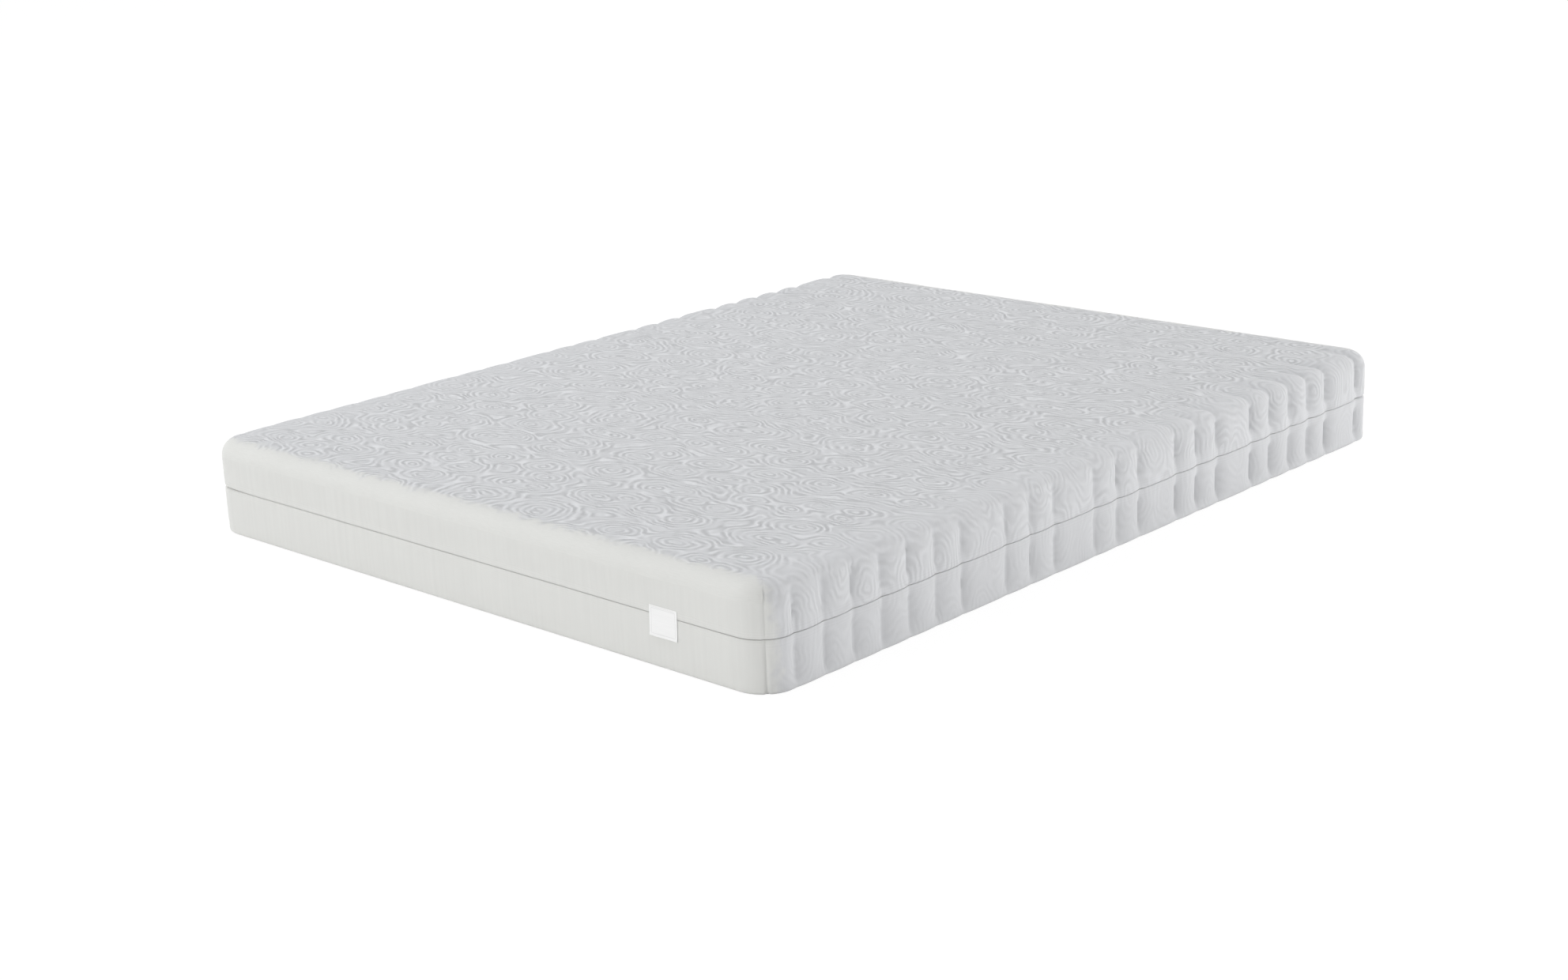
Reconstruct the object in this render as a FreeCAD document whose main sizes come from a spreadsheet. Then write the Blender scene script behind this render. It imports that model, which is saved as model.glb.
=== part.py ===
import FreeCAD, Part
import math
import os

import Sketcher

# A memory foam mattress in a two-part zip-off cover.
# Frame: +Z up, origin at the middle of the underside, length along Y, foot end at -Y.
# Depths are measured inwards from the outer face of the cover, heights from the floor.

doc = FreeCAD.newDocument("mattress")
sheet = doc.addObject("Spreadsheet::Sheet", "Sizes")


class Size:
    """A length that carries its formula on the sheet and its present value."""

    def __init__(self, formula, value):
        self.formula = formula
        self.value = value

    def joined(self, sign, other, value):
        return Size(f"({self.formula} {sign} {as_size(other).formula})", value)

    def __add__(self, other):
        return self.joined("+", other, self.value + as_size(other).value)

    def __sub__(self, other):
        return self.joined("-", other, self.value - as_size(other).value)

    def __mul__(self, other):
        return self.joined("*", other, self.value * as_size(other).value)

    def __truediv__(self, other):
        return self.joined("/", other, self.value / as_size(other).value)

    def __neg__(self):
        return self * -1


def as_size(number):
    return number if isinstance(number, Size) else Size(f"({number:.9g})", float(number))


def driving(alias, value):
    """Writes one driving dimension to the sheet and returns it."""
    driving.row += 1
    cell = f"B{driving.row}"
    sheet.set(f"A{driving.row}", alias.replace("_", " "))
    sheet.set(cell, f"{value:g}")
    sheet.setAlias(cell, alias)
    return Size(f"Sizes.{alias}", float(value))


driving.row = 0

# Whole mattress
length = driving("length", 2000)
width = driving("width", 1600)
height = driving("height", 200)
corner_radius = driving("corner_radius", 70)
top_edge_radius = driving("top_edge_radius", 35)
bottom_edge_radius = driving("bottom_edge_radius", 8)

# Cover
fabric = driving("fabric", 3)
wadding = driving("wadding", 10)
backing = driving("backing", 1)
felt = driving("felt", 2)
zip_height = driving("zip_height", 100)
hem_gap = driving("hem_gap", 7)
hem_band = driving("hem_band", 2.5)
pinch_depth = driving("pinch_depth", 7)
pinch_reach = driving("pinch_reach", 16)
seam_bead = driving("seam_bead", 6)
seam_bead_height = driving("seam_bead_height", 3)
binding = driving("binding", 1)
binding_half_angle = driving("binding_half_angle", 10)
binding_top_gap = driving("binding_top_gap", 5)
lower_binding_foot = driving("lower_binding_foot", 10)

# Foam core
core_clearance = driving("core_clearance", 2)
lay_gap = driving("lay_gap", 0.3)
memory_foam = driving("memory_foam", 50)
comfort_foam = driving("comfort_foam", 30)
core_top_radius = driving("core_top_radius", 24)
core_bottom_radius = driving("core_bottom_radius", 10)
wide_panel = driving("wide_panel", 130)
groove_radius = driving("groove_radius", 14)
groove_depth = driving("groove_depth", 12)
channel_depth = driving("channel_depth", 8)

# Zip chain
tape_thickness = driving("tape_thickness", 1)
tape_width = driving("tape_width", 11.6)
coil_depth = driving("coil_depth", 3.4)
coil_height = driving("coil_height", 2.6)
coil_proud = driving("coil_proud", 1.2)
chain_web = driving("chain_web", 1.6)
chain_gap = driving("chain_gap", 12)
chain_end = driving("chain_end", 88)
stop_length = driving("stop_length", 4)

# Slider and pull
slider_length = driving("slider_length", 14)
slider_width = driving("slider_width", 10)
slider_plate = driving("slider_plate", 1.5)
slider_web = driving("slider_web", 1)
slider_web_length = driving("slider_web_length", 6)
slider_running_gap = driving("slider_running_gap", 0.3)
slider_setback = driving("slider_setback", 22)
inner_plate = driving("inner_plate", 1)
inner_plate_width = driving("inner_plate_width", 9)
crown_rise = driving("crown_rise", 2.6)
crown_length = driving("crown_length", 5.2)
crown_width = driving("crown_width", 3.5)
pivot_radius = driving("pivot_radius", 0.8)
pivot_clearance = driving("pivot_clearance", 0.08)
pull_length = driving("pull_length", 28)
pull_width = driving("pull_width", 8)
pull_thickness = driving("pull_thickness", 1.4)
pull_leg_width = driving("pull_leg_width", 1.6)
pull_window = driving("pull_window", 8)
pull_side_gap = driving("pull_side_gap", 0.3)

# Labels
label_width = driving("label_width", 68)
label_length = driving("label_length", 64)
label_from_side = driving("label_from_side", 243)
label_thickness = driving("label_thickness", 0.8)
label_stand_off = driving("label_stand_off", 0.4)
label_sewn = driving("label_sewn", 4)
care_width = driving("care_width", 50)
care_length = driving("care_length", 54)
care_from_side = driving("care_from_side", 300)

doc.recompute()

# Places that several pieces share
half_length = length / 2
half_width = width / 2
eighth_turn = math.cos(math.radians(45))
upper_hem = zip_height + hem_gap / 2
lower_hem = zip_height - hem_gap / 2
upper_full = zip_height + pinch_reach
lower_full = zip_height - pinch_reach
edge_centre = height - top_edge_radius
wadding_face = fabric + wadding
core_inset = wadding_face + core_clearance
core_bottom = fabric + felt + lay_gap
core_top = height - fabric - wadding - backing - lay_gap
zero = as_size(0)

sub_parts = []


# ---------------------------------------------------------------- helpers


def origin_plane(body, role):
    return next(plane for plane in body.Origin.OriginFeatures if plane.Role == role)


def new_body(label):
    body = doc.addObject("PartDesign::Body", label)
    body.Label = label
    return body


def keep(piece, label=None):
    """Marks a finished object as a sub-part that gets its own file."""
    if label:
        piece.Label = label
    sub_parts.append(piece)
    return piece


def bind(piece, **formulas):
    for name, size in formulas.items():
        piece.setExpression(name, size.formula)


def pin(sketch, geometry, vertex, x, y):
    """Holds a vertex at x, y from the sketch's origin, bound to the sheet."""
    for kind, size in (("DistanceX", x), ("DistanceY", y)):
        row = sketch.addConstraint(
            Sketcher.Constraint(kind, -1, 1, geometry, vertex, size.value)
        )
        sketch.setExpression(f"Constraints[{row}]", size.formula)


def draw(body, name, role, points, closed=True, offset=None):
    """Sketches lines and arcs through points on one of the body's origin planes.

    A point is (x, y), or (x, y, (centre x, centre y)) where an arc arrives at it.
    """
    sketch = body.newObject("Sketcher::SketchObject", name)
    sketch.AttachmentSupport = (origin_plane(body, role), [""])
    sketch.MapMode = "FlatFace"
    if offset is not None:
        sketch.setExpression("AttachmentOffset.Base.z", offset.formula)
    points = [tuple(map(as_size, point[:2])) + tuple(point[2:]) for point in points]
    spans = len(points) if closed else len(points) - 1
    ends = []
    for i in range(spans):
        start, end = points[i], points[(i + 1) % len(points)]
        begin = FreeCAD.Vector(start[0].value, start[1].value, 0)
        finish = FreeCAD.Vector(end[0].value, end[1].value, 0)
        if len(end) == 2:
            shape, vertices = Part.LineSegment(begin, finish), (1, 2)
        else:
            centre = FreeCAD.Vector(as_size(end[2][0]).value, as_size(end[2][1]).value, 0)
            from_angle = math.atan2(begin.y - centre.y, begin.x - centre.x)
            to_angle = math.atan2(finish.y - centre.y, finish.x - centre.x)
            vertices = (1, 2)
            if (to_angle - from_angle) % (2 * math.pi) > math.pi:
                from_angle, to_angle = to_angle, from_angle
                vertices = (2, 1)
            circle = Part.Circle(centre, FreeCAD.Vector(0, 0, 1), (begin - centre).Length)
            shape = Part.ArcOfCircle(circle, from_angle, to_angle)
        ends.append((sketch.addGeometry(shape, False), *vertices))
    for i, (geometry, first, last) in enumerate(ends):
        pin(sketch, geometry, first, *points[i][:2])
        end = points[(i + 1) % len(points)]
        if closed or i + 1 < spans:
            following = ends[(i + 1) % spans]
            sketch.addConstraint(
                Sketcher.Constraint("Coincident", geometry, last, following[0], following[1])
            )
        else:
            pin(sketch, geometry, last, *end[:2])
        if len(end) == 3:
            centre_x = as_size(end[2][0])
            row = sketch.addConstraint(
                Sketcher.Constraint("DistanceX", -1, 1, geometry, 3, centre_x.value)
            )
            sketch.setExpression(f"Constraints[{row}]", centre_x.formula)
    return sketch


def pad(body, name, sketch, depth):
    feature = body.newObject("PartDesign::Pad", name)
    feature.Profile = sketch
    bind(feature, Length=depth)
    return feature


def sweep(body, name, profile, path):
    feature = body.newObject("PartDesign::AdditivePipe", name)
    feature.Profile = profile
    feature.Spine = (path, [])
    return feature


def mirror(body, name, feature, role):
    copy = body.newObject("PartDesign::Mirrored", name)
    copy.Originals = [feature]
    copy.MirrorPlane = (origin_plane(body, role), [""])
    body.Tip = copy
    return copy


def rounded_rectangle(inset):
    """Plan outline at a depth inside the cover's outer face, from mid right side round."""
    x = half_width - inset
    y = half_length - inset
    cx = half_width - corner_radius
    cy = half_length - corner_radius
    return [
        (x, zero),
        (x, cy),
        (cx, y, (cx, cy)),
        (-cx, y),
        (-x, cy, (-cx, cy)),
        (-x, -cy),
        (-cx, -y, (-cx, -cy)),
        (cx, -y),
        (x, -cy, (cx, -cy)),
    ]


def across_side(profile):
    """Turns a (depth, height) profile into sketch points at the middle of the right side."""
    points = []
    for point in profile:
        placed = (half_width - point[0], point[1])
        if len(point) == 3:
            placed += ((half_width - point[2][0], point[2][1]),)
        points.append(placed)
    return points


def plate(label, inset, bottom, thickness):
    """A flat sheet with the mattress's plan outline at a depth inside the cover."""
    body = new_body(label)
    outline = draw(body, f"{label}_outline", "XY_Plane", rounded_rectangle(inset), offset=bottom)
    pad(body, f"{label}_pad", outline, thickness)
    return keep(body)


def ring(body, name, profile):
    """Sweeps a (depth, height) profile all the way round the mattress."""
    path = draw(body, f"{name}_path", "XY_Plane", rounded_rectangle(zero))
    section = draw(body, f"{name}_section", "XZ_Plane", across_side(profile))
    return sweep(body, name, section, path)


def wall(body, name, side, profile):
    """Sweeps a (depth, height) profile along one side, from mid-corner to mid-corner."""
    long_side = side in ("left", "right")
    sign = 1 if side in ("right", "head") else -1
    reach = half_width if long_side else half_length
    run = (half_length if long_side else half_width) - corner_radius
    arc_run = run + corner_radius * eighth_turn
    arc_reach = reach - corner_radius + corner_radius * eighth_turn
    centre = (reach - corner_radius) * sign
    if long_side:
        points = [
            (reach * sign, zero),
            (reach * sign, run),
            (arc_reach * sign, arc_run, (centre, run)),
        ]
    else:
        points = [
            (zero, reach * sign),
            (run, reach * sign),
            (arc_run, arc_reach * sign, (run, centre)),
        ]
    section_points = []
    for point in profile:
        placed = ((reach - point[0]) * sign, point[1])
        if len(point) == 3:
            placed += (((reach - point[2][0]) * sign, point[2][1]),)
        section_points.append(placed)
    across = "XZ_Plane" if long_side else "YZ_Plane"
    path = draw(body, f"{name}_path", "XY_Plane", points, closed=False)
    section = draw(body, f"{name}_section", across, section_points)
    half = sweep(body, f"{name}_half", section, path)
    return mirror(body, name, half, across)


# ---------------------------------------------------------------- cover panels

lower_border = [
    (bottom_edge_radius, zero),
    (zero, bottom_edge_radius, (bottom_edge_radius, bottom_edge_radius)),
    (zero, lower_full),
    (pinch_depth, lower_hem - hem_band),
    (pinch_depth, lower_hem),
    (pinch_depth + fabric, lower_hem),
    (pinch_depth + fabric, lower_hem - hem_band),
    (fabric, lower_full),
    (fabric, bottom_edge_radius),
    (bottom_edge_radius, fabric, (bottom_edge_radius, bottom_edge_radius)),
]
upper_border = [
    (zero, edge_centre),
    (zero, upper_full),
    (pinch_depth, upper_hem + hem_band),
    (pinch_depth, upper_hem),
    (pinch_depth + fabric, upper_hem),
    (pinch_depth + fabric, upper_hem + hem_band),
    (fabric, upper_full),
    (fabric, edge_centre),
]
top_edge = [
    (zero, edge_centre),
    (top_edge_radius, height, (top_edge_radius, edge_centre)),
    (top_edge_radius, height - fabric),
    (fabric, edge_centre, (top_edge_radius, edge_centre)),
]

for side, label in (
    ("left", "lower_side_panel_left"),
    ("right", "lower_side_panel_right"),
    ("foot", "lower_end_panel_foot"),
    ("head", "lower_end_panel_head"),
):
    panel = new_body(label)
    wall(panel, f"{label}_wall", side, lower_border)
    keep(panel)

for side, label in (("foot", "upper_end_panel_foot"), ("head", "upper_end_panel_head")):
    panel = new_body(label)
    wall(panel, f"{label}_wall", side, upper_border)
    keep(panel)

# The sleeping surface, its rounded edge and both long sides are one length of cloth.
wrap = new_body("upper_wrap_panel")
top_outline = draw(
    wrap,
    "wrap_top_outline",
    "XY_Plane",
    rounded_rectangle(top_edge_radius),
    offset=height - fabric,
)
pad(wrap, "wrap_top", top_outline, fabric)
ring(wrap, "wrap_edge", top_edge)
for side in ("right", "left"):
    wall(wrap, f"wrap_{side}", side, upper_border)
keep(wrap)

plate("base_panel", bottom_edge_radius, zero, fabric)
plate("base_felt", core_inset, fabric, felt)
plate("upper_backing", top_edge_radius, height - fabric - wadding - backing, backing)

# ---------------------------------------------------------------- wadding and seams

lower_wadding = new_body("lower_wadding")
ring(
    lower_wadding,
    "lower_wadding_ring",
    [
        (fabric, lower_binding_foot),
        (fabric, lower_full),
        (wadding_face, lower_full),
        (wadding_face, lower_binding_foot),
    ],
)
keep(lower_wadding)

upper_wadding = new_body("upper_wadding")
wadding_outline = draw(
    upper_wadding,
    "upper_wadding_outline",
    "XY_Plane",
    rounded_rectangle(top_edge_radius),
    offset=height - fabric - wadding,
)
pad(upper_wadding, "upper_wadding_top", wadding_outline, wadding)
ring(
    upper_wadding,
    "upper_wadding_ring",
    [
        (fabric, upper_full),
        (fabric, edge_centre),
        (top_edge_radius, height - fabric, (top_edge_radius, edge_centre)),
        (top_edge_radius, height - fabric - wadding),
        (wadding_face, edge_centre, (top_edge_radius, edge_centre)),
        (wadding_face, upper_full),
    ],
)
keep(upper_wadding)

edge_seam = new_body("base_edge_seam")
ring(
    edge_seam,
    "base_edge_bead",
    [
        (bottom_edge_radius, fabric),
        (bottom_edge_radius, fabric + seam_bead_height),
        (bottom_edge_radius + seam_bead, fabric + seam_bead_height),
        (bottom_edge_radius + seam_bead, fabric),
    ],
)
keep(edge_seam)


def corner_tapes(label, bottom, rise):
    """Four strips of binding tape on the corner seams, one solid each."""
    strips = []
    for x_sign, y_sign, middle in ((1, 1, 45), (-1, 1, 135), (-1, -1, 225), (1, -1, 315)):
        tube = doc.addObject("Part::Cylinder", f"{label}_outer_{middle}")
        bore = doc.addObject("Part::Cylinder", f"{label}_inner_{middle}")
        seat = corner_radius - wadding_face
        start = as_size(middle) - binding_half_angle
        for cylinder, radius in ((tube, seat), (bore, seat - binding)):
            bind(cylinder, Radius=radius, Height=rise, Angle=binding_half_angle * 2)
            cylinder.Placement.Rotation.Axis = FreeCAD.Vector(0, 0, 1)
            cylinder.setExpression("Placement.Rotation.Angle", start.formula)
            cylinder.setExpression(
                "Placement.Base.x", ((half_width - corner_radius) * x_sign).formula
            )
            cylinder.setExpression(
                "Placement.Base.y", ((half_length - corner_radius) * y_sign).formula
            )
            cylinder.setExpression("Placement.Base.z", bottom.formula)
        strip = doc.addObject("Part::Cut", f"{label}_strip_{middle}")
        strip.Base = tube
        strip.Tool = bore
        strips.append(strip)
    tapes = doc.addObject("Part::Compound", label)
    tapes.Links = strips
    return keep(tapes, label)


corner_tapes("lower_corner_tapes", lower_binding_foot, lower_full - lower_binding_foot)
corner_tapes("upper_corner_tapes", upper_full, edge_centre - binding_top_gap - upper_full)

# ---------------------------------------------------------------- foam core


def side_boundaries():
    """Places along the length where one rib or panel of the long sides meets the next."""
    groups = (7, 2, 2, 2, 4, 1)
    rib_pitch = (length - wide_panel * (len(groups) - 1)) / sum(groups)
    place = -half_length
    places = []
    for number, ribs in enumerate(groups):
        for _ in range(ribs):
            place = place + rib_pitch
            places.append(place)
        if number + 1 < len(groups):
            place = place + wide_panel
            places.append(place)
    return places[:-1]


def foam_blank(label, bottom, thickness):
    body = new_body(label)
    outline = draw(
        body, f"{label}_outline", "XY_Plane", rounded_rectangle(core_inset), offset=bottom
    )
    pad(body, f"{label}_slab", outline, thickness)
    return body


def round_edges(body, name, level, radius):
    """Rounds the outline edges of the body's flat face at one height."""
    doc.recompute()
    slab = body.Tip
    edges = [
        f"Edge{number}"
        for number, edge in enumerate(slab.Shape.Edges, 1)
        if abs(edge.BoundBox.ZMin - level) < 0.001 and abs(edge.BoundBox.ZMax - level) < 0.001
    ]
    fillet = body.newObject("PartDesign::Fillet", name)
    fillet.Base = (slab, edges)
    bind(fillet, Radius=radius)


boundaries = side_boundaries()
side_grooves = []
top_channels = []
groove_centre = half_width - core_inset + groove_radius - groove_depth
for number, place in enumerate(boundaries):
    for side, sign in (("left", -1), ("right", 1)):
        groove = doc.addObject("Part::Cylinder", f"groove_{side}_{number}")
        bind(groove, Radius=groove_radius, Height=height)
        groove.setExpression("Placement.Base.x", (groove_centre * sign).formula)
        groove.setExpression("Placement.Base.y", place.formula)
        side_grooves.append(groove)
    channel = doc.addObject("Part::Cylinder", f"channel_{number}")
    bind(channel, Radius=groove_radius, Height=width)
    channel.Placement.Rotation = FreeCAD.Rotation(FreeCAD.Vector(0, 1, 0), 90)
    channel.setExpression("Placement.Base.x", (-half_width).formula)
    channel.setExpression("Placement.Base.y", place.formula)
    channel.setExpression(
        "Placement.Base.z", (core_top + groove_radius - channel_depth).formula
    )
    top_channels.append(channel)
side_cutters = doc.addObject("Part::Compound", "side_cutters")
side_cutters.Links = side_grooves
top_cutters = doc.addObject("Part::Compound", "top_cutters")
top_cutters.Links = top_channels


def cut_away(name, base, tool):
    cut = doc.addObject("Part::Cut", name)
    cut.Base = base
    cut.Tool = tool
    return cut


comfort_bottom = core_top - memory_foam - comfort_foam
memory_bottom = core_top - memory_foam
support_blank = foam_blank("support_blank", core_bottom, comfort_bottom - core_bottom)
round_edges(support_blank, "support_edge", core_bottom.value, core_bottom_radius)
comfort_blank = foam_blank("comfort_blank", comfort_bottom, comfort_foam)
memory_blank = foam_blank("memory_blank", memory_bottom, memory_foam)
round_edges(memory_blank, "memory_edge", core_top.value, core_top_radius)
keep(cut_away("support_foam", support_blank, side_cutters), "support_foam_core")
keep(cut_away("comfort_foam", comfort_blank, side_cutters), "comfort_foam_layer")
memory_sides = cut_away("memory_foam_sides", memory_blank, side_cutters)
keep(cut_away("memory_foam", memory_sides, top_cutters), "memory_foam_layer")

# ---------------------------------------------------------------- zip chain

tape_outer = pinch_depth + fabric
tape_inner = tape_outer + tape_thickness
coil_outer = tape_outer - coil_proud
coil_inner = coil_outer + coil_depth
upper_coil_bottom = zip_height + chain_web / 2
upper_coil_top = upper_coil_bottom + coil_height
lower_coil_top = zip_height - chain_web / 2
lower_coil_bottom = lower_coil_top - coil_height
chain_start = half_length - chain_end
chain_finish = chain_start - chain_gap


def chain(label, outer, inner, bottom, top):
    """A strip that runs all round at the zip, open where the chain's two ends meet."""
    body = new_body(label)
    outline = rounded_rectangle(zero)
    left = -half_width
    way_round = [(left, chain_finish), *outline[5:], *outline[1:5], (left, chain_start)]
    path = draw(body, f"{label}_path", "XY_Plane", way_round, closed=False)
    section = draw(
        body,
        f"{label}_section",
        "XZ_Plane",
        [
            (left + outer, bottom),
            (left + outer, top),
            (left + inner, top),
            (left + inner, bottom),
        ],
        offset=-chain_finish,
    )
    sweep(body, f"{label}_strip", section, path)
    return keep(body)


chain("zip_tape_upper", tape_outer, tape_inner, upper_coil_top, upper_coil_top + tape_width)
chain("zip_tape_lower", tape_outer, tape_inner, lower_coil_bottom - tape_width, lower_coil_bottom)
chain("zip_coil_upper", coil_outer, coil_inner, upper_coil_bottom, upper_coil_top)
chain("zip_coil_lower", coil_outer, coil_inner, lower_coil_bottom, lower_coil_top)


def slab(body, name, depths, places, heights):
    """Adds a block on the left side: depth range, range along Y, height range."""
    left = -half_width
    outline = draw(
        body,
        f"{name}_outline",
        "XY_Plane",
        [
            (left + depths[0], places[0]),
            (left + depths[1], places[0]),
            (left + depths[1], places[1]),
            (left + depths[0], places[1]),
        ],
        offset=heights[0],
    )
    return pad(body, name, outline, heights[1] - heights[0])


def end_stops(label, bottom, top):
    """Two small blocks that close the ends of one row of teeth."""
    pieces = []
    for name, start in (
        ("first", chain_finish),
        ("last", chain_start - stop_length),
    ):
        block = doc.addObject("Part::Box", f"{label}_{name}")
        bind(block, Length=coil_depth, Width=stop_length, Height=top - bottom)
        block.setExpression("Placement.Base.x", (coil_outer - half_width).formula)
        block.setExpression("Placement.Base.y", start.formula)
        block.setExpression("Placement.Base.z", bottom.formula)
        pieces.append(block)
    stops = doc.addObject("Part::Compound", label)
    stops.Links = pieces
    return keep(stops, label)


end_stops("zip_stops_upper", upper_coil_bottom, upper_coil_top)
end_stops("zip_stops_lower", lower_coil_bottom, lower_coil_top)

# ---------------------------------------------------------------- slider and pull

slider_place = chain_start - slider_setback
plate_inner = pinch_depth - slider_running_gap
plate_outer = plate_inner - slider_plate
back_outer = coil_inner + slider_running_gap
back_inner = back_outer + inner_plate
slider_ends = (slider_place - slider_length / 2, slider_place + slider_length / 2)

slider = new_body("zip_slider")
front_heights = (zip_height - slider_width / 2, zip_height + slider_width / 2)
slab(slider, "slider_front", (plate_outer, plate_inner), slider_ends, front_heights)
slab(
    slider,
    "slider_post",
    (plate_inner, back_outer),
    (slider_place - slider_web_length / 2, slider_place + slider_web_length / 2),
    (zip_height - slider_web / 2, zip_height + slider_web / 2),
)
back_foot = zip_height - inner_plate_width / 2
slab(
    slider,
    "slider_back",
    (back_outer, back_inner),
    slider_ends,
    (back_foot, zip_height + inner_plate_width / 2),
)
slab(
    slider,
    "slider_lip",
    (tape_inner + slider_running_gap, back_outer),
    slider_ends,
    (back_foot, lower_coil_bottom - slider_running_gap),
)
pivot_depth = plate_outer - crown_rise / 2
slab(
    slider,
    "slider_crown",
    (plate_outer - crown_rise, plate_outer),
    (slider_place - crown_length / 2, slider_place + crown_length / 2),
    (zip_height - crown_width / 2, zip_height + crown_width / 2),
)
bore_sketch = slider.newObject("Sketcher::SketchObject", "slider_bore_circle")
bore_sketch.AttachmentSupport = (origin_plane(slider, "XY_Plane"), [""])
bore_sketch.MapMode = "FlatFace"
bore_sketch.setExpression("AttachmentOffset.Base.z", (zip_height + crown_width).formula)
bore_centre = (pivot_depth - half_width, slider_place)
bore_radius = pivot_radius + pivot_clearance
bore_circle = bore_sketch.addGeometry(
    Part.Circle(
        FreeCAD.Vector(bore_centre[0].value, bore_centre[1].value, 0),
        FreeCAD.Vector(0, 0, 1),
        bore_radius.value,
    ),
    False,
)
pin(bore_sketch, bore_circle, 3, *bore_centre)
radius_row = bore_sketch.addConstraint(
    Sketcher.Constraint("Radius", bore_circle, bore_radius.value)
)
bore_sketch.setExpression(f"Constraints[{radius_row}]", bore_radius.formula)
doc.recompute()
volume_before_bore = slider.Shape.Volume
bore = slider.newObject("PartDesign::Pocket", "slider_bore")
bore.Profile = bore_sketch
bind(bore, Length=crown_width * 2)
keep(slider)

pull = new_body("zip_pull")
leg_start = crown_width / 2 + pull_side_gap
pull_depths = (pivot_depth - pull_thickness / 2, pivot_depth + pull_thickness / 2)
slab(
    pull,
    "pull_tab",
    pull_depths,
    (slider_place - pull_length, slider_place - pull_window),
    (zip_height - pull_width / 2, zip_height + pull_width / 2),
)
for name, low, high in (
    ("upper", zip_height + leg_start, zip_height + leg_start + pull_leg_width),
    ("lower", zip_height - leg_start - pull_leg_width, zip_height - leg_start),
):
    slab(
        pull,
        f"pull_leg_{name}",
        pull_depths,
        (slider_place - pull_window, slider_place),
        (low, high),
    )
pivot = pull.newObject("PartDesign::AdditiveCylinder", "pull_pivot")
bind(pivot, Radius=pivot_radius, Height=(leg_start + pull_leg_width) * 2)
pivot.AttachmentSupport = (origin_plane(pull, "XY_Plane"), [""])
pivot.MapMode = "FlatFace"
pivot.setExpression("AttachmentOffset.Base.x", bore_centre[0].formula)
pivot.setExpression("AttachmentOffset.Base.y", bore_centre[1].formula)
pivot.setExpression(
    "AttachmentOffset.Base.z", (zip_height - leg_start - pull_leg_width).formula
)
keep(pull)

# ---------------------------------------------------------------- labels

# The cloth label is sewn to the upper cover above the zip and hangs over the lower border.
label = new_body("label")
face = -half_length
label_top = upper_full + label_sewn
label_foot = label_top - label_length
hang = upper_full - label_sewn
label_section = draw(
    label,
    "label_section",
    "YZ_Plane",
    [
        (face, label_top),
        (face, upper_full),
        (face - label_stand_off, hang),
        (face - label_stand_off, label_foot),
        (face - label_stand_off - label_thickness, label_foot),
        (face - label_stand_off - label_thickness, hang),
        (face - label_thickness, label_top),
    ],
    offset=half_width - label_from_side - label_width / 2,
)
pad(label, "label_cloth", label_section, label_width)
keep(label)

care_label = new_body("care_label")
care_section = draw(
    care_label,
    "care_section",
    "YZ_Plane",
    [
        (half_length, lower_full),
        (half_length, lower_full - care_length),
        (half_length + label_thickness, lower_full - care_length),
        (half_length + label_thickness, lower_full),
    ],
    offset=care_from_side - half_width - care_width / 2,
)
pad(care_label, "care_cloth", care_section, care_width)
keep(care_label)

# ---------------------------------------------------------------- check and write

doc.recompute()
assert slider.Shape.Volume < volume_before_bore, "the pull's bore cuts nothing"
for item in doc.Objects:
    failed = {"Invalid", "Error"} & set(item.State)
    assert not failed, f"{item.Name} is {item.State}"
for piece in sub_parts:
    assert not piece.Shape.isNull(), f"{piece.Label} has no shape"
    assert piece.Shape.isValid(), f"{piece.Label} has a faulty shape"

os.makedirs("parts", exist_ok=True)
for piece in sub_parts:
    piece.Shape.exportStep(f"parts/{piece.Label}.step")
    box = piece.Shape.BoundBox
    print(
        f"{piece.Label:26s} solids {len(piece.Shape.Solids):2d}"
        f"  volume {piece.Shape.Volume / 1000:10.2f} cm3"
        f"  x {box.XMin:8.2f} {box.XMax:8.2f}"
        f"  y {box.YMin:8.2f} {box.YMax:8.2f}"
        f"  z {box.ZMin:7.2f} {box.ZMax:7.2f}"
    )
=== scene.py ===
import math

import bpy
import numpy as np
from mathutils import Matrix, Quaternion, Vector, noise


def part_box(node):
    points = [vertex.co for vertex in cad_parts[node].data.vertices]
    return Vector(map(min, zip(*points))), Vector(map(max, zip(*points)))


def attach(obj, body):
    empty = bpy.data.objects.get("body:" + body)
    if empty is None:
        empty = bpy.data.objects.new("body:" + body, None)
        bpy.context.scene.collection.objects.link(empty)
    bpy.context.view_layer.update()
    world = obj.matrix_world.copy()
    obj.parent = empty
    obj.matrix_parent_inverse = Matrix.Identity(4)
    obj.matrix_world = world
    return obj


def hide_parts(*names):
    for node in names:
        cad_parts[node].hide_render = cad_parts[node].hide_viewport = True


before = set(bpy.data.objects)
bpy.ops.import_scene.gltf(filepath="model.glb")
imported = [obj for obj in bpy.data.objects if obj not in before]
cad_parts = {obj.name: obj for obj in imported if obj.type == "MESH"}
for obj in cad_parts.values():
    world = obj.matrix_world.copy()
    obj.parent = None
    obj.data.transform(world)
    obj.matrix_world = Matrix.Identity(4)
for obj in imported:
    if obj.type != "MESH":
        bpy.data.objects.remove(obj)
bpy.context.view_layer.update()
print("frame loaded")

# Everything is in metres. +Y is the head end, the labelled foot end faces -Y.
# An inset is a distance in from the cover's outer face, measured level.
wrapLow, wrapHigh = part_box("upper_wrap_panel")
halfWidth, halfLength, height = wrapHigh
upperHem = wrapLow.z
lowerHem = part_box("lower_side_panel_right")[1].z
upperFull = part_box("upper_wadding")[0].z       # the walls have their full width above this
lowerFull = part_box("lower_wadding")[1].z       # and below this
zipHeight = (upperHem + lowerHem) / 2

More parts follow.
